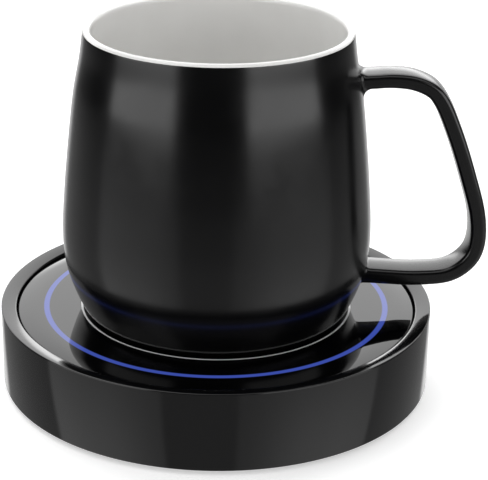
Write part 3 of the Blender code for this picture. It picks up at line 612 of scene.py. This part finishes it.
def on_ring(middle, half):
    """A test for faces of the top that lie on a ring."""
    def test(radius, z):
        return z > GLASS_TOP - 0.01 * MM and abs(radius - middle) < half
    return test


printed = paint(glass, PRINT_SLOT, on_ring(PRINT_R, PRINT_HALF))
lit = paint(glass, LIGHT_SLOT, on_ring(LIGHT_R, WINDOW_HALF))
print(f"{printed} faces printed, {lit} faces lit")

# %% [markdown]
# ## The mug's body
#
# The mug is thrown or pressed in a mould and has one continuous wall. Its section runs from
# the middle of the floor up the inside, over the round lip and down the belly to the foot
# ring. Smooth curves through a few measured points keep the belly free of flats.

# %% Draw the section
SECTION_STEPS = 5
WALL_STEPS = 12
# radius and height of points on the mug's wall, in millimetres from its foot
OUTSIDE = (
    (39.15, 84.7), (40.1, 77.5), (42.0, 67.5), (43.8, 52.5), (45.2, 38.0), (46.0, 24.5),
    (45.3, 15.2), (43.2, 8.2), (40.7, 2.3),
)
INSIDE = (
    (0.0, 6.6), (14.0, 6.65), (29.0, 7.0), (37.5, 9.8), (41.4, 18.0), (41.7, 30.0),
    (40.3, 52.0), (38.8, 67.0), (36.75, 84.7),
)


def smooth_line(knots, per_span):
    """Points on a smooth curve through the knots."""
    points = [Vector((x, y, 0)) * MM for x, y in knots]
    slopes = []
    for i, point in enumerate(points):
        before, after = points[max(i - 1, 0)], points[min(i + 1, len(points) - 1)]
        path = (point - before).length + (after - point).length
        slopes.append((after - before) / path)
    found = []
    for a, b, out, into in zip(points, points[1:], slopes, slopes[1:]):
        reach = (b - a).length / 3
        found += interpolate_bezier(a, a + out * reach, b - into * reach, b, per_span + 1)[:-1]
    found.append(points[-1])
    return [(p.x, p.y) for p in found]


def wall_r(height):
    """Outside radius of the mug at a height above its foot."""
    line = smooth_line(OUTSIDE, WALL_STEPS)
    for (r1, z1), (r2, z2) in zip(line, line[1:]):
        if z2 <= height <= z1:
            return r2 + (r1 - r2) * (height - z2) / (z1 - z2)
    return line[0][0] if height > line[0][1] else line[-1][0]


print(f"{len(OUTSIDE)} points outside and {len(INSIDE)} inside")

# %% Turn the body
MUG_SIDES = 128
MUG_CROWN = 85.9 * MM
LIP_HALF = 1.2 * MM
LIP_MID_R = 37.95 * MM
# a hair less than half the lip, so that its two roundings never meet
LIP_ROUND = 0.99 * LIP_HALF
FOOT_RECESS = 1.6 * MM
mug_section = [(r, z, 0) for r, z in smooth_line(INSIDE, SECTION_STEPS)]
mug_section += [
    (LIP_MID_R - LIP_HALF, MUG_CROWN, LIP_ROUND),
    (LIP_MID_R + LIP_HALF, MUG_CROWN, LIP_ROUND),
]
mug_section += [(r, z, 0) for r, z in smooth_line(OUTSIDE, SECTION_STEPS + 1)]
mug_section += [
    (39.9 * MM, 1.0 * MM, 0),
    (38.5 * MM, GAP, 0.4 * MM),
    (36.0 * MM, GAP, 0.4 * MM),
    (35.0 * MM, FOOT_RECESS, 0.5 * MM),
    (0, FOOT_RECESS, 0),
]
mug_bm = turned(mug_section, MUG_SIDES, rounding_steps=5)
print(f"body: {len(mug_bm.faces)} faces, {open_edges(mug_bm)} open edges")

# %% [markdown]
# ## The mug's handle
#
# The handle is a flat strap, pulled and then pressed to the wall while soft, so it flows
# into the body with a fillet at each root. Two separate solids that cross would show a hard
# seam there. So a rounded section is extruded along the handle's line, each end is flared
# in steps until it lies on the wall, the wall is opened there, and the two loops are
# bridged. The mug stays one closed skin. The strap's broad faces are a little crowned, as
# pulled clay is, so that light runs off them from bright to dark across the width.

# %% Place the strap's sections
STRAP_WIDTH = 10.6 * MM
STRAP_TOP = 4.7 * MM
STRAP_LOW = 5.6 * MM
# distance from the axis and height of points on the strap's middle line, in millimetres
STRAP_LINE = (
    (39.2, 70.6), (43.0, 71.0), (50.0, 71.6), (57.4, 70.7), (63.3, 67.3), (68.6, 56.8),
    (73.9, 42.0), (77.6, 28.5), (77.0, 18.0), (70.8, 11.8), (60.5, 10.3), (50.5, 10.6),
    (45.5, 10.9), (42.0, 11.0),
)
LINE_STEPS = 5
TOP_FILLETS = {"above": 2.4 * MM, "below": 2.8 * MM, "beside": 0.9 * MM}
LOW_FILLETS = {"above": 1.2 * MM, "below": 1.2 * MM, "beside": 0.9 * MM}
CLEAR = 0.7 * MM
line = [Vector((x, 0, z)) for x, z in smooth_line(STRAP_LINE, LINE_STEPS)]
half_way = len(line) // 2
stations = []
for i in range(1, len(line) - 1):
    fillets = TOP_FILLETS if i < half_way else LOW_FILLETS
    if line[i].x - wall_r(line[i].z) > max(fillets.values()) + CLEAR:
        stations.append((line[i], (line[i + 1] - line[i - 1]).normalized(), i / len(line)))


def strap_place(centre, along, share):
    """Puts the unit section at a station: thickness outwards, width across."""
    outwards = Vector((-along.z, 0, along.x))
    across = along.cross(outwards)
    turn = Matrix((outwards, across, along)).transposed().to_4x4()
    thick = (STRAP_TOP + share * (STRAP_LOW - STRAP_TOP)) / STRAP_TOP
    return Matrix.Translation(centre) @ turn @ Matrix.Diagonal((thick, 1, 1, 1))


print(f"{len(stations)} sections clear of the wall")

# %% Draw the first section
STRAP_CORNER = 1.2 * MM
CORNER_STEPS = 5
CORNER_EDGE = 1.5 * MM
SIDE_CUTS = 3
STRAP_CROWN = 0.16
made = bmesh.ops.create_grid(mug_bm, x_segments=1, y_segments=1, size=0.5)
verts = made["verts"]
bmesh.ops.scale(mug_bm, verts=verts, vec=(STRAP_TOP, STRAP_WIDTH, 1))
made = bmesh.ops.bevel(mug_bm, geom=verts, offset=STRAP_CORNER, affect="VERTICES",
                       segments=CORNER_STEPS, profile=0.5, material=-1)
face = max(made["verts"][0].link_faces, key=lambda f: f.calc_area())
sides = [e for e in face.edges if e.calc_length() > CORNER_EDGE]
bmesh.ops.subdivide_edges(mug_bm, edges=sides, cuts=SIDE_CUTS)
first_loop = list(face.edges)
points = list(face.verts)
bmesh.ops.delete(mug_bm, geom=[face], context="FACES_KEEP_BOUNDARY")
for point in points:
    point.co.x *= 1 - STRAP_CROWN * (2 * point.co.y / STRAP_WIDTH) ** 2
print(f"a section of {len(points)} points")

# %% Extrude the strap
def grow(bm, loop):
    """Extrude an open loop in place. Returns its new edges and their points."""
    made = bmesh.ops.extrude_edge_only(bm, edges=loop)["geom"]
    points = {g for g in made if isinstance(g, bmesh.types.BMVert)}
    edges = [g for g in made if isinstance(g, bmesh.types.BMEdge) and set(g.verts) <= points]
    return edges, list(points)


spot = strap_place(*stations[0])
bmesh.ops.transform(mug_bm, matrix=spot, verts=points)
last_loop = first_loop
for station in stations[1:]:
    last_loop, points = grow(mug_bm, last_loop)
    following = strap_place(*station)
    bmesh.ops.transform(mug_bm, matrix=following @ spot.inverted(), verts=points)
    spot = following
print(f"strap of {len(stations)} sections")

# %% [markdown]
# ### The roots
#
# As the strap nears the wall it widens along a quarter circle. Above and under the upper
# root, where the weight hangs, that circle is larger than beside it. Every point is pushed
# straight out of the strap's outline and follows the round wall rather than a flat plane.

# %% Flare the ends onto the wall
ROOT_STEPS = 8


def on_wall(y, z):
    """How far out the wall is at a place beside the handle's middle plane."""
    return math.sqrt(wall_r(z) ** 2 - y ** 2)


def widening(fillet, away):
    """How far a fillet stands out from the strap at a distance from the wall."""
    near = max(fillet - away, 0)
    return fillet - math.sqrt(fillet ** 2 - near ** 2)


def flare(bm, loop, middle, thick, fillets, lean):
    """Carry an end of the strap to the wall. Returns its last loop and its height there."""
    half = Vector((STRAP_WIDTH / 2 - STRAP_CORNER, thick / 2 - STRAP_CORNER))
    largest = max(fillets.values())
    last_away = largest + CLEAR
    for step in range(ROOT_STEPS + 1):
        away = largest * (1 - math.sin(math.radians(90) * step / ROOT_STEPS))
        loop, points = grow(bm, loop)
        shift = lean * (away - last_away)
        for point in points:
            here = Vector((point.co.y, point.co.z - middle))
            core = Vector((max(-half.x, min(half.x, here.x)), max(-half.y, min(half.y, here.y))))
            way = (here - core).normalized()
            upright = fillets["above"] if way.y > 0 else fillets["below"]
            fillet = fillets["beside"] * way.x ** 2 + upright * way.y ** 2
            plain = (here - core).length - widening(fillet, last_away)
            here = core + way * (plain + widening(fillet, away))
            z = here.y + middle + shift
            point.co = (on_wall(here.x, z) + away, here.x, z)
        middle += shift
        last_away = away
    return loop, middle


top_centre, top_along, _ = stations[0]
top_loop, top_z = flare(mug_bm, first_loop, top_centre.z, STRAP_TOP, TOP_FILLETS,
                        top_along.z / top_along.x)
low_centre, low_along, _ = stations[-1]
low_loop, low_z = flare(mug_bm, last_loop, low_centre.z, STRAP_LOW, LOW_FILLETS,
                        low_along.z / low_along.x)
print(f"roots at {top_z / MM:.1f} mm and {low_z / MM:.1f} mm above the foot")

# %% [markdown]
# ### One skin
#
# The wall's faces behind each root are taken out, a little more widely than the root
# reaches, and a bridge joins the strap's last loop to the edge of the hole. A Boolean union
# could join the two as well, but it would leave a sharp line round the root.

# %% Open the wall and bridge the roots
ROOT_MARGIN = 0.5 * MM


def joined_faces(edges):
    """All faces that hang together with some edges."""
    found, frontier, seen = set(), list(edges), set(edges)
    while frontier:
        for face in frontier.pop().link_faces:
            found.add(face)
            fresh = set(face.edges) - seen
            seen |= fresh
            frontier += fresh
    return found


def open_wall(bm, kept, middle, thick, fillets):
    """Cut a patch out of the wall behind a root, but none of the kept faces."""
    high = middle + thick / 2 + fillets["above"] + ROOT_MARGIN
    low = middle - thick / 2 - fillets["below"] - ROOT_MARGIN
    wide = STRAP_WIDTH / 2 + fillets["beside"] + ROOT_MARGIN
    patch = []
    for face in bm.faces:
        centre = face.calc_center_median()
        on_skin = abs(math.hypot(centre.x, centre.y) - wall_r(centre.z)) < MM
        heights = [v.co.z for v in face.verts]
        level = min(heights) < high and max(heights) > low
        reached = min(abs(v.co.y) for v in face.verts) < wide
        if centre.x > 0 and on_skin and level and reached and face not in kept:
            patch.append(face)
    print("wall faces opened:", len(patch))
    bmesh.ops.delete(bm, geom=patch, context="FACES")


strap = joined_faces(first_loop)
ends = {*top_loop, *low_loop}
for loop, middle, thick, fillets in (
    (top_loop, top_z, STRAP_TOP, TOP_FILLETS),
    (low_loop, low_z, STRAP_LOW, LOW_FILLETS),
):
    open_wall(mug_bm, strap, middle, thick, fillets)
    rim = [e for e in mug_bm.edges if e.is_boundary and e not in ends]
    bmesh.ops.bridge_loops(mug_bm, edges=loop + rim)
bmesh.ops.recalc_face_normals(mug_bm, faces=mug_bm.faces)
bmesh.ops.translate(mug_bm, verts=mug_bm.verts, vec=(0, 0, GLASS_TOP))
mug = finished("stoneware_mug", mug_bm, [black_glaze, white_glaze, bare_clay], "mug", ["mug"])

# %% [markdown]
# ### Two glazes on one skin
#
# The white glaze covers the inside and rolls over the lip. It ends on a clean line a little
# below the crown. A picture could draw that line too, but it would need an unwrapped mesh,
# where faces can be picked by their place. A subdivision then rounds off what facets are
# left.

# %% Glaze and smooth the mug
WHITE_SLOT, CLAY_SLOT = 1, 2
GLAZE_LINE = 84.9 * MM
GLAZE_DEPTH = 1.5 * MM
UNDER_FLOOR = 4 * MM
FOOT_REACH = GAP + 0.05 * MM


def is_white(radius, z):
    """Whether a place is over the glaze line, or on the inside."""
    height = z - GLASS_TOP
    inside = height > UNDER_FLOOR and radius < wall_r(height) - GLAZE_DEPTH
    return height > GLAZE_LINE or inside


white = paint(mug, WHITE_SLOT, is_white)
bare = paint(mug, CLAY_SLOT, lambda radius, z: z - GLASS_TOP < FOOT_REACH)
smoother = mug.modifiers.new("smooth", "SUBSURF")
smoother.levels = 1
smoother.render_levels = 1
print(f"{white} faces white, {bare} faces bare")

# %% [markdown]
# ## The underside
#
# The cover closes the housing from below. It carries three sleeves that guide the plate,
# three posts for the board, and a recess for the pad. All are moulded with it, so they are
# welded to one turned piece and then bored.

# %% Turn the cover
PAD_R = pad_high.x
RECESS_R = PAD_R + GAP
RECESS_TOP = pad_high.z + GAP
SPIGOT_INNER_R, SPIGOT_OUTER_R = 60.9 * MM, 62.3 * MM
SPIGOT_TOP = COVER_TOP + 2.2 * MM
cover_section = [
    (0, COVER_TOP, 0),
    (SPIGOT_INNER_R, COVER_TOP, 0),
    (SPIGOT_INNER_R, SPIGOT_TOP, 0.3 * MM),
    (SPIGOT_OUTER_R, SPIGOT_TOP, 0.3 * MM),
    (SPIGOT_OUTER_R, COVER_TOP, 0),
    (COVER_R, COVER_TOP, 0),
    (COVER_R, WALL_FOOT, 0.4 * MM),
    (RECESS_R, WALL_FOOT, 0.2 * MM),
    (RECESS_R, RECESS_TOP, 0),
    (0, RECESS_TOP, 0),
]
cover = finished("base_cover", turned(cover_section), [matt_plastic], "root",
                 ["bottom_cover"])

# %% Weld the sleeves and posts
GUIDE_R = 42.0 * MM
GUIDES = [around(GUIDE_R, angle) for angle in (30, 150, 270)]
POSTS = [(x * MM, y * MM) for x, y in ((24.0, 15.0), (-24.0, 15.0), (0.0, -27.0))]
SLEEVE_R = 5.2 * MM
SLEEVE_LOW, SLEEVE_TOP = RECESS_TOP + 0.4 * MM, 13.2 * MM
POST_R = 3.0 * MM
POST_HALF = 0.8 * MM
sleeves = [cylinder_tool(SLEEVE_R, SLEEVE_LOW, SLEEVE_TOP, at) for at in GUIDES]
posts = [cylinder_tool(POST_R, COVER_TOP - POST_HALF, COVER_TOP + POST_HALF, at)
         for at in POSTS]
combine(cover, sleeves + posts, "UNION")
print(f"{len(sleeves)} sleeves and {len(posts)} posts on the cover")

# %% Bore the cover
# radius, foot and top of each cylinder that is bored out
GUIDE_BORES = ((2.5 * MM, 1.0 * MM, 16.0 * MM), (4.0 * MM, 1.0 * MM, 5.6 * MM))
POST_BORES = ((1.1 * MM, 2.9 * MM, 8.0 * MM),)
SCREW_BORES = (
    (4.7 * MM, COVER_TOP - 0.1 * MM, 9.0 * MM),
    (1.5 * MM, 0.5 * MM, 6.0 * MM),
    (2.9 * MM, 0.5 * MM, 3.0 * MM),
)
GATE = (20 * MM, 12 * MM, 6 * MM)
GATE_Z = COVER_TOP + 2.9 * MM
SCREWS = [around(SCREW_R, angle) for angle in SCREW_ANGLES]
holes = []
for places, bores in ((GUIDES, GUIDE_BORES), (POSTS, POST_BORES), (SCREWS, SCREW_BORES)):
    holes += [cylinder_tool(*bore, at) for at in places for bore in bores]
gate = box_tool(GATE, (0, BASE_R, GATE_Z))
combine(cover, [*holes, gate], "DIFFERENCE")
print(f"{len(holes)} holes, and a gate for the inlet")

# %% [markdown]
# ### The pad
#
# The warmer stands on a silicone pad in the cover's recess. Two shallow grooves let it grip
# a table that isn't quite even. They run round the axis, so the section draws them.

# %% Turn the pad
GROOVES = (44.0 * MM, 30.0 * MM)
GROOVE_DEPTH = 0.5 * MM
GROOVE_MOUTH, GROOVE_FLOOR = 0.9 * MM, 0.6 * MM
pad_section = [(0, pad_high.z, 0), (PAD_R, pad_high.z, 0), (PAD_R, 0, 0.4 * MM)]
for middle in GROOVES:
    pad_section += [
        (middle + GROOVE_MOUTH, 0, 0.2 * MM),
        (middle + GROOVE_FLOOR, GROOVE_DEPTH, 0.15 * MM),
        (middle - GROOVE_FLOOR, GROOVE_DEPTH, 0.15 * MM),
        (middle - GROOVE_MOUTH, 0, 0.2 * MM),
    ]
pad_section.append((0, 0, 0))
finished("silicone_pad", turned(pad_section), [silicone], "root", ["non_slip_pad"])

# %% [markdown]
# ### The case screws
#
# Four screws hold the cover. They are turned as the rest are, and a six-sided prism cuts
# the socket. No thread is made, because it would sit in the boss, where nobody sees it.

# %% Turn the case screws
SCREW_SIDES = 48
HEAD_R, HEAD = 2.5 * MM, 1.2 * MM
SHANK_R, SHANK = 1.1 * MM, 6.8 * MM
SOCKET_R, SOCKET_SIDES = HEAD_R * 0.45, 6
SOCKET_LOW, SOCKET_TOP = WALL_FOOT - 0.5 * MM, WALL_FOOT + 0.7 * MM
screw_section = [
    (0, HEAD + SHANK, 0), (SHANK_R, HEAD + SHANK, 0.3 * MM), (SHANK_R, HEAD, 0),
    (HEAD_R, HEAD, 0.1 * MM), (HEAD_R, 0, 0.6 * MM), (0, 0, 0),
]
for i, at in enumerate(SCREWS):
    bm = turned(screw_section, SCREW_SIDES)
    bmesh.ops.translate(bm, verts=bm.verts, vec=(*at, WALL_FOOT))
    name = f"case_screw_{i + 1}"
    piece = finished(f"hex_{name}", bm, [zinc_steel], "root", [name])
    socket = cylinder_tool(SOCKET_R, SOCKET_LOW, SOCKET_TOP, at, SOCKET_SIDES)
    combine(piece, [socket], "DIFFERENCE")

# %% [markdown]
# ## The power inlet
#
# A barrel socket sits in the hole at the back. Its collar has an eased edge, and a brass pin
# with a round tip stands in the bore. All of it is round about a line that runs out of the
# back, so it is turned upright as the rest is and then laid down.

# %% Turn the inlet's collar
INLET_FACE, INLET_BACK = inlet_high.y, inlet_low.y
COLLAR_LONG = 8 * MM
BLOCK_WIDE = 9 * MM
BLOCK_FRONT = INLET_FACE - 3.0 * MM
BORE_R = 2.75 * MM
BORE_EASE = 0.3 * MM
BORE_DEEP = 10 * MM
SEAT_R, SEAT_DEEP = 1.35 * MM, 20 * MM
PIN_SIDES = 32


def lay_back(bm):
    """Turn a piece made upright so that its base faces out of the back."""
    bmesh.ops.rotate(bm, verts=bm.verts, cent=(0, 0, 0), matrix=lay_along_y)
    bmesh.ops.translate(bm, verts=bm.verts, vec=(0, INLET_FACE, INLET_Z))
    return bm


collar = lay_back(turned([
    (0, 0, 0), (COLLAR_R, 0, 0.25 * MM), (COLLAR_R, COLLAR_LONG, 0), (0, COLLAR_LONG, 0),
], INLET_SIDES, rounding_steps=3))
inlet = finished("barrel_inlet", collar, [matt_plastic], "root", ["dc_inlet"])
block = box_tool((BLOCK_WIDE, BLOCK_FRONT - INLET_BACK, 2 * COLLAR_R),
                 (0, (BLOCK_FRONT + INLET_BACK) / 2, INLET_Z))
combine(inlet, [block], "UNION")
bore = lay_back(turned([
    (0, -MM, 0), (BORE_R + BORE_EASE, -MM, 0), (BORE_R + BORE_EASE, 0, 0),
    (BORE_R, BORE_EASE, 0), (BORE_R, BORE_DEEP, 0), (0, BORE_DEEP, 0),
], INLET_SIDES, rounding_steps=3))
seat = lay_back(turned([
    (0, MM, 0), (SEAT_R, MM, 0), (SEAT_R, SEAT_DEEP, 0), (0, SEAT_DEEP, 0),
], PIN_SIDES, rounding_steps=3))
combine(inlet, [bore, seat], "DIFFERENCE")

# %% Turn the pin
pin_low, pin_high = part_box("inlet_pin")
PIN_R = (pin_high.z - pin_low.z) / 2
PIN_FRONT, PIN_BACK = INLET_FACE - pin_high.y, INLET_FACE - pin_low.y
pin = lay_back(turned([
    (0, PIN_FRONT, 0), (PIN_R, PIN_FRONT, 0.5 * MM), (PIN_R, PIN_BACK, 0), (0, PIN_BACK, 0),
], PIN_SIDES))
finished("contact_pin", pin, [brass], "root", ["inlet_pin"])

# %% [markdown]
# ## Pieces that stay as they are
#
# The pieces inside keep their plain shapes, which are right for them, and each gets the
# finish of its material.

# %% Dress the plain pieces
slots = {row["node"]: row["material_slot"] for row in frame["record"]["subparts"]}
dressed = 0
for name, node in frame["nodes"].items():
    if node.hide_render:
        continue
    for slot in node.material_slots:
        slot.material = looks[slots[name]]
        dressed += 1
print(f"{dressed} plain pieces dressed")

# %% [markdown]
# ## The studio floor
#
# The floor is white and large. It takes the object's shadow, and what the camera sees of it
# is lifted to white, so that the ground has no edge. From below it is clear, so that the
# underside can be looked at. Mirror rays pass it by and meet the room that the world draws,
# because black gloss over a white table would otherwise turn grey.

# %% Lay the floor
FLOOR_HALF = 3.0
FLOOR_DROP = 0.05 * MM
floor_bm = bmesh.new()
bmesh.ops.create_grid(floor_bm, x_segments=1, y_segments=1, size=FLOOR_HALF)
bmesh.ops.translate(floor_bm, verts=floor_bm.verts, vec=(0, 0, -FLOOR_DROP))
floor_mesh = bpy.data.meshes.new("floor")
floor_bm.to_mesh(floor_mesh)
floor_bm.free()
floor = bpy.data.objects.new("floor", floor_mesh)
bpy.context.scene.collection.objects.link(floor)
floor.visible_glossy = False
print(f"floor {2 * FLOOR_HALF:.0f} m across")

# %% Finish the floor
FLOOR_WHITE = (0.80, 0.80, 0.80)
FLOOR_LIFT = 0.5
floor_look = bpy.data.materials.new("floor")
floor_look.use_nodes = True
floor_shader = floor_look.node_tree.nodes["Principled BSDF"]
floor_shader.inputs["Base Color"].default_value = (*FLOOR_WHITE, 1)
floor_shader.inputs["Roughness"].default_value = 1.0
floor_shader.inputs["Specular IOR Level"].default_value = 0.0


def mix_shaders(owner, share, first, second):
    """The first shader where the share is 0, and the second where it is 1."""
    mix = add_node(owner, "ShaderNodeMixShader", Fac=share)
    set_input(owner, mix.inputs[1], first)
    set_input(owner, mix.inputs[2], second)
    return mix.outputs["Shader"]


rays = add_node(floor_look, "ShaderNodeLightPath").outputs
shown = calculate(floor_look, "MAXIMUM", rays["Is Camera Ray"], rays["Is Glossy Ray"])
shown = calculate(floor_look, "MAXIMUM", shown, rays["Is Transmission Ray"])
lift = add_node(floor_look, "ShaderNodeEmission", Strength=FLOOR_LIFT)
lifted = add_node(floor_look, "ShaderNodeAddShader")
set_input(floor_look, lifted.inputs[0], floor_shader.outputs["BSDF"])
set_input(floor_look, lifted.inputs[1], lift.outputs["Emission"])
from_above = mix_shaders(floor_look, shown, floor_shader.outputs["BSDF"],
                         lifted.outputs["Shader"])
clear = add_node(floor_look, "ShaderNodeBsdfTransparent").outputs["BSDF"]
behind = add_node(floor_look, "ShaderNodeNewGeometry").outputs["Backfacing"]
surface = mix_shaders(floor_look, behind, from_above, clear)
floor_output = floor_look.node_tree.nodes["Material Output"]
set_input(floor_look, floor_output.inputs["Surface"], surface)
floor_mesh.materials.append(floor_look)
print(f"floor lifted by {FLOOR_LIFT} where it shows")

# %% [markdown]
# ## The studio light
#
# The light comes from large soft boxes drawn in the world, each a patch of the sky with soft
# edges. Lamps could do the same, but boxes in the world never come into view and keep even
# edges in the gloss. The two boxes low at the sides swell towards a soft middle, which runs
# a gentle shade down the mug. Black gloss shows its whole room, so between the boxes the
# room stays dark, and only towards the backdrop and the floor behind do mirror rays meet
# the white that the camera sees.

# %% Set up the world
BOXES = {
    # bearing, half width, height, half height, softness (degrees) and strength
    "back": (180, 55, 32, 26, 8, 2.6),
    "strip": (180, 24, 11, 5, 5, 2.4),
    "top": (-140, 85, 75, 25, 12, 2.4),
    "front": (0, 75, 52, 13, 10, 1.6),
    "left": (-62, 29, 8, 13, 6, 2.9),
    "right": (54, 31, 8, 13, 6, 2.95),
    "left_low": (-61, 34, -34, 24, 4, 0.22),
    "right_low": (52, 40, -34, 24, 4, 0.18),
    "ground": (0, 180, -52, 41, 14, 0.35),
}
SWELLS = {
    # where a box swells, and how many times as strong it gets there
    "left_low": ((-72, 32, -64, 50, 44), 3.4),
    "right_low": ((60, 28, -64, 50, 44), 4.1),
}
BACKDROP = (180, 26, -40, 43, 8)
DARK_ROOM = 0.02
world = bpy.data.worlds.new("studio")
bpy.context.scene.world = world
world.use_nodes = True
world.node_tree.nodes.clear()
print(f"{len(BOXES)} soft boxes, {len(SWELLS)} of them swelling")

# %% Find where a ray points
direction = add_node(world, "ShaderNodeTexCoord").outputs["Generated"]
split = add_node(world, "ShaderNodeSeparateXYZ", Vector=direction).outputs
height = calculate(world, "ARCSINE", split["Z"])
to_front = calculate(world, "MULTIPLY", split["Y"], -1)
bearing = calculate(world, "ARCTAN2", split["X"], to_front)


def soft_step(value, edge, softness):
    """1 below the edge and 0 above it, with a soft change between. Takes degrees."""
    start = math.radians(edge - softness / 2)
    end = math.radians(edge + softness / 2)
    node = add_node(world, "ShaderNodeMapRange", Value=value, From_Min=start, From_Max=end,
                    To_Min=1, To_Max=0)
    node.interpolation_type = "SMOOTHSTEP"
    return node.outputs["Result"]


def patch(bearing_mid, half_wide, height_mid, half_tall, softness):
    """1 inside a patch of the sky and 0 outside it, with soft edges."""
    turned_off = calculate(world, "SUBTRACT", bearing, math.radians(bearing_mid))
    wrapped = calculate(world, "WRAP", turned_off, math.pi, -math.pi)
    aside = calculate(world, "ABSOLUTE", wrapped)
    raised = calculate(world, "SUBTRACT", height, math.radians(height_mid))
    above = calculate(world, "ABSOLUTE", raised)
    return calculate(world, "MULTIPLY", soft_step(aside, half_wide, softness),
                     soft_step(above, half_tall, softness))


print(f"bearing and height found with {len(world.node_tree.nodes)} nodes")

# %% Draw the boxes and the backdrop
total = DARK_ROOM
for name, (*place, strength) in BOXES.items():
    share = calculate(world, "MULTIPLY", patch(*place), strength)
    if name in SWELLS:
        middle, most = SWELLS[name]
        gain = calculate(world, "MULTIPLY_ADD", patch(*middle), most - 1, 1)
        share = calculate(world, "MULTIPLY", share, gain)
    total = calculate(world, "ADD", share, total)
room = add_node(world, "ShaderNodeBackground", Strength=total).outputs["Background"]
backdrop = add_node(world, "ShaderNodeBackground", Color=(1, 1, 1, 1)).outputs["Background"]
rays = add_node(world, "ShaderNodeLightPath").outputs
mirrored = calculate(world, "MULTIPLY", rays["Is Glossy Ray"], patch(*BACKDROP))
direct = calculate(world, "MAXIMUM", rays["Is Camera Ray"], rays["Is Transmission Ray"])
seen = calculate(world, "MAXIMUM", direct, mirrored)
add_node(world, "ShaderNodeOutputWorld", Surface=mix_shaders(world, seen, room, backdrop))
print(f"the world has {len(world.node_tree.nodes)} nodes")

# %% [markdown]
# ## The camera
#
# The set is seen from the front, a good 20 degrees above the table, through a long lens half
# a metre away. A camera could be moved by hand until the outlines agree. Here its place, roll
# and lens were fitted to the ellipses of the rims, the rings and the foot, which is closer.

# %% Place the camera
# angles in radians and lengths in metres, but the sensor in millimetres
TILT = 0.390081
ROLL = 0.010732
DISTANCE = 0.506837
AIM = Vector((0, 0, 0.0415))
SENSOR = 36
IMAGE_WIDE, IMAGE_TALL = 488, 480
FOCAL_PIXELS = 1681.36
CENTRE_X, CENTRE_Y = 216.51, 247.08
lens = bpy.data.cameras.new("camera")
lens.sensor_width = SENSOR
lens.lens = FOCAL_PIXELS / IMAGE_WIDE * SENSOR
lens.shift_x = (IMAGE_WIDE / 2 - CENTRE_X) / IMAGE_WIDE
lens.shift_y = (CENTRE_Y - IMAGE_TALL / 2) / IMAGE_WIDE
camera = bpy.data.objects.new("camera", lens)
bpy.context.scene.collection.objects.link(camera)
forward = Vector((0, math.cos(TILT), -math.sin(TILT)))
level, rise = Vector((1, 0, 0)), Vector((0, math.sin(TILT), math.cos(TILT)))
right = math.cos(ROLL) * level + math.sin(ROLL) * rise
up = math.cos(ROLL) * rise - math.sin(ROLL) * level
turn = Matrix((right, up, -forward)).transposed().to_4x4()
camera.matrix_world = Matrix.Translation(AIM - DISTANCE * forward) @ turn
bpy.context.scene.camera = camera
bpy.context.scene.view_settings.view_transform = "Standard"
print(f"lens {lens.lens:.1f} mm, {DISTANCE / MM:.0f} mm away")
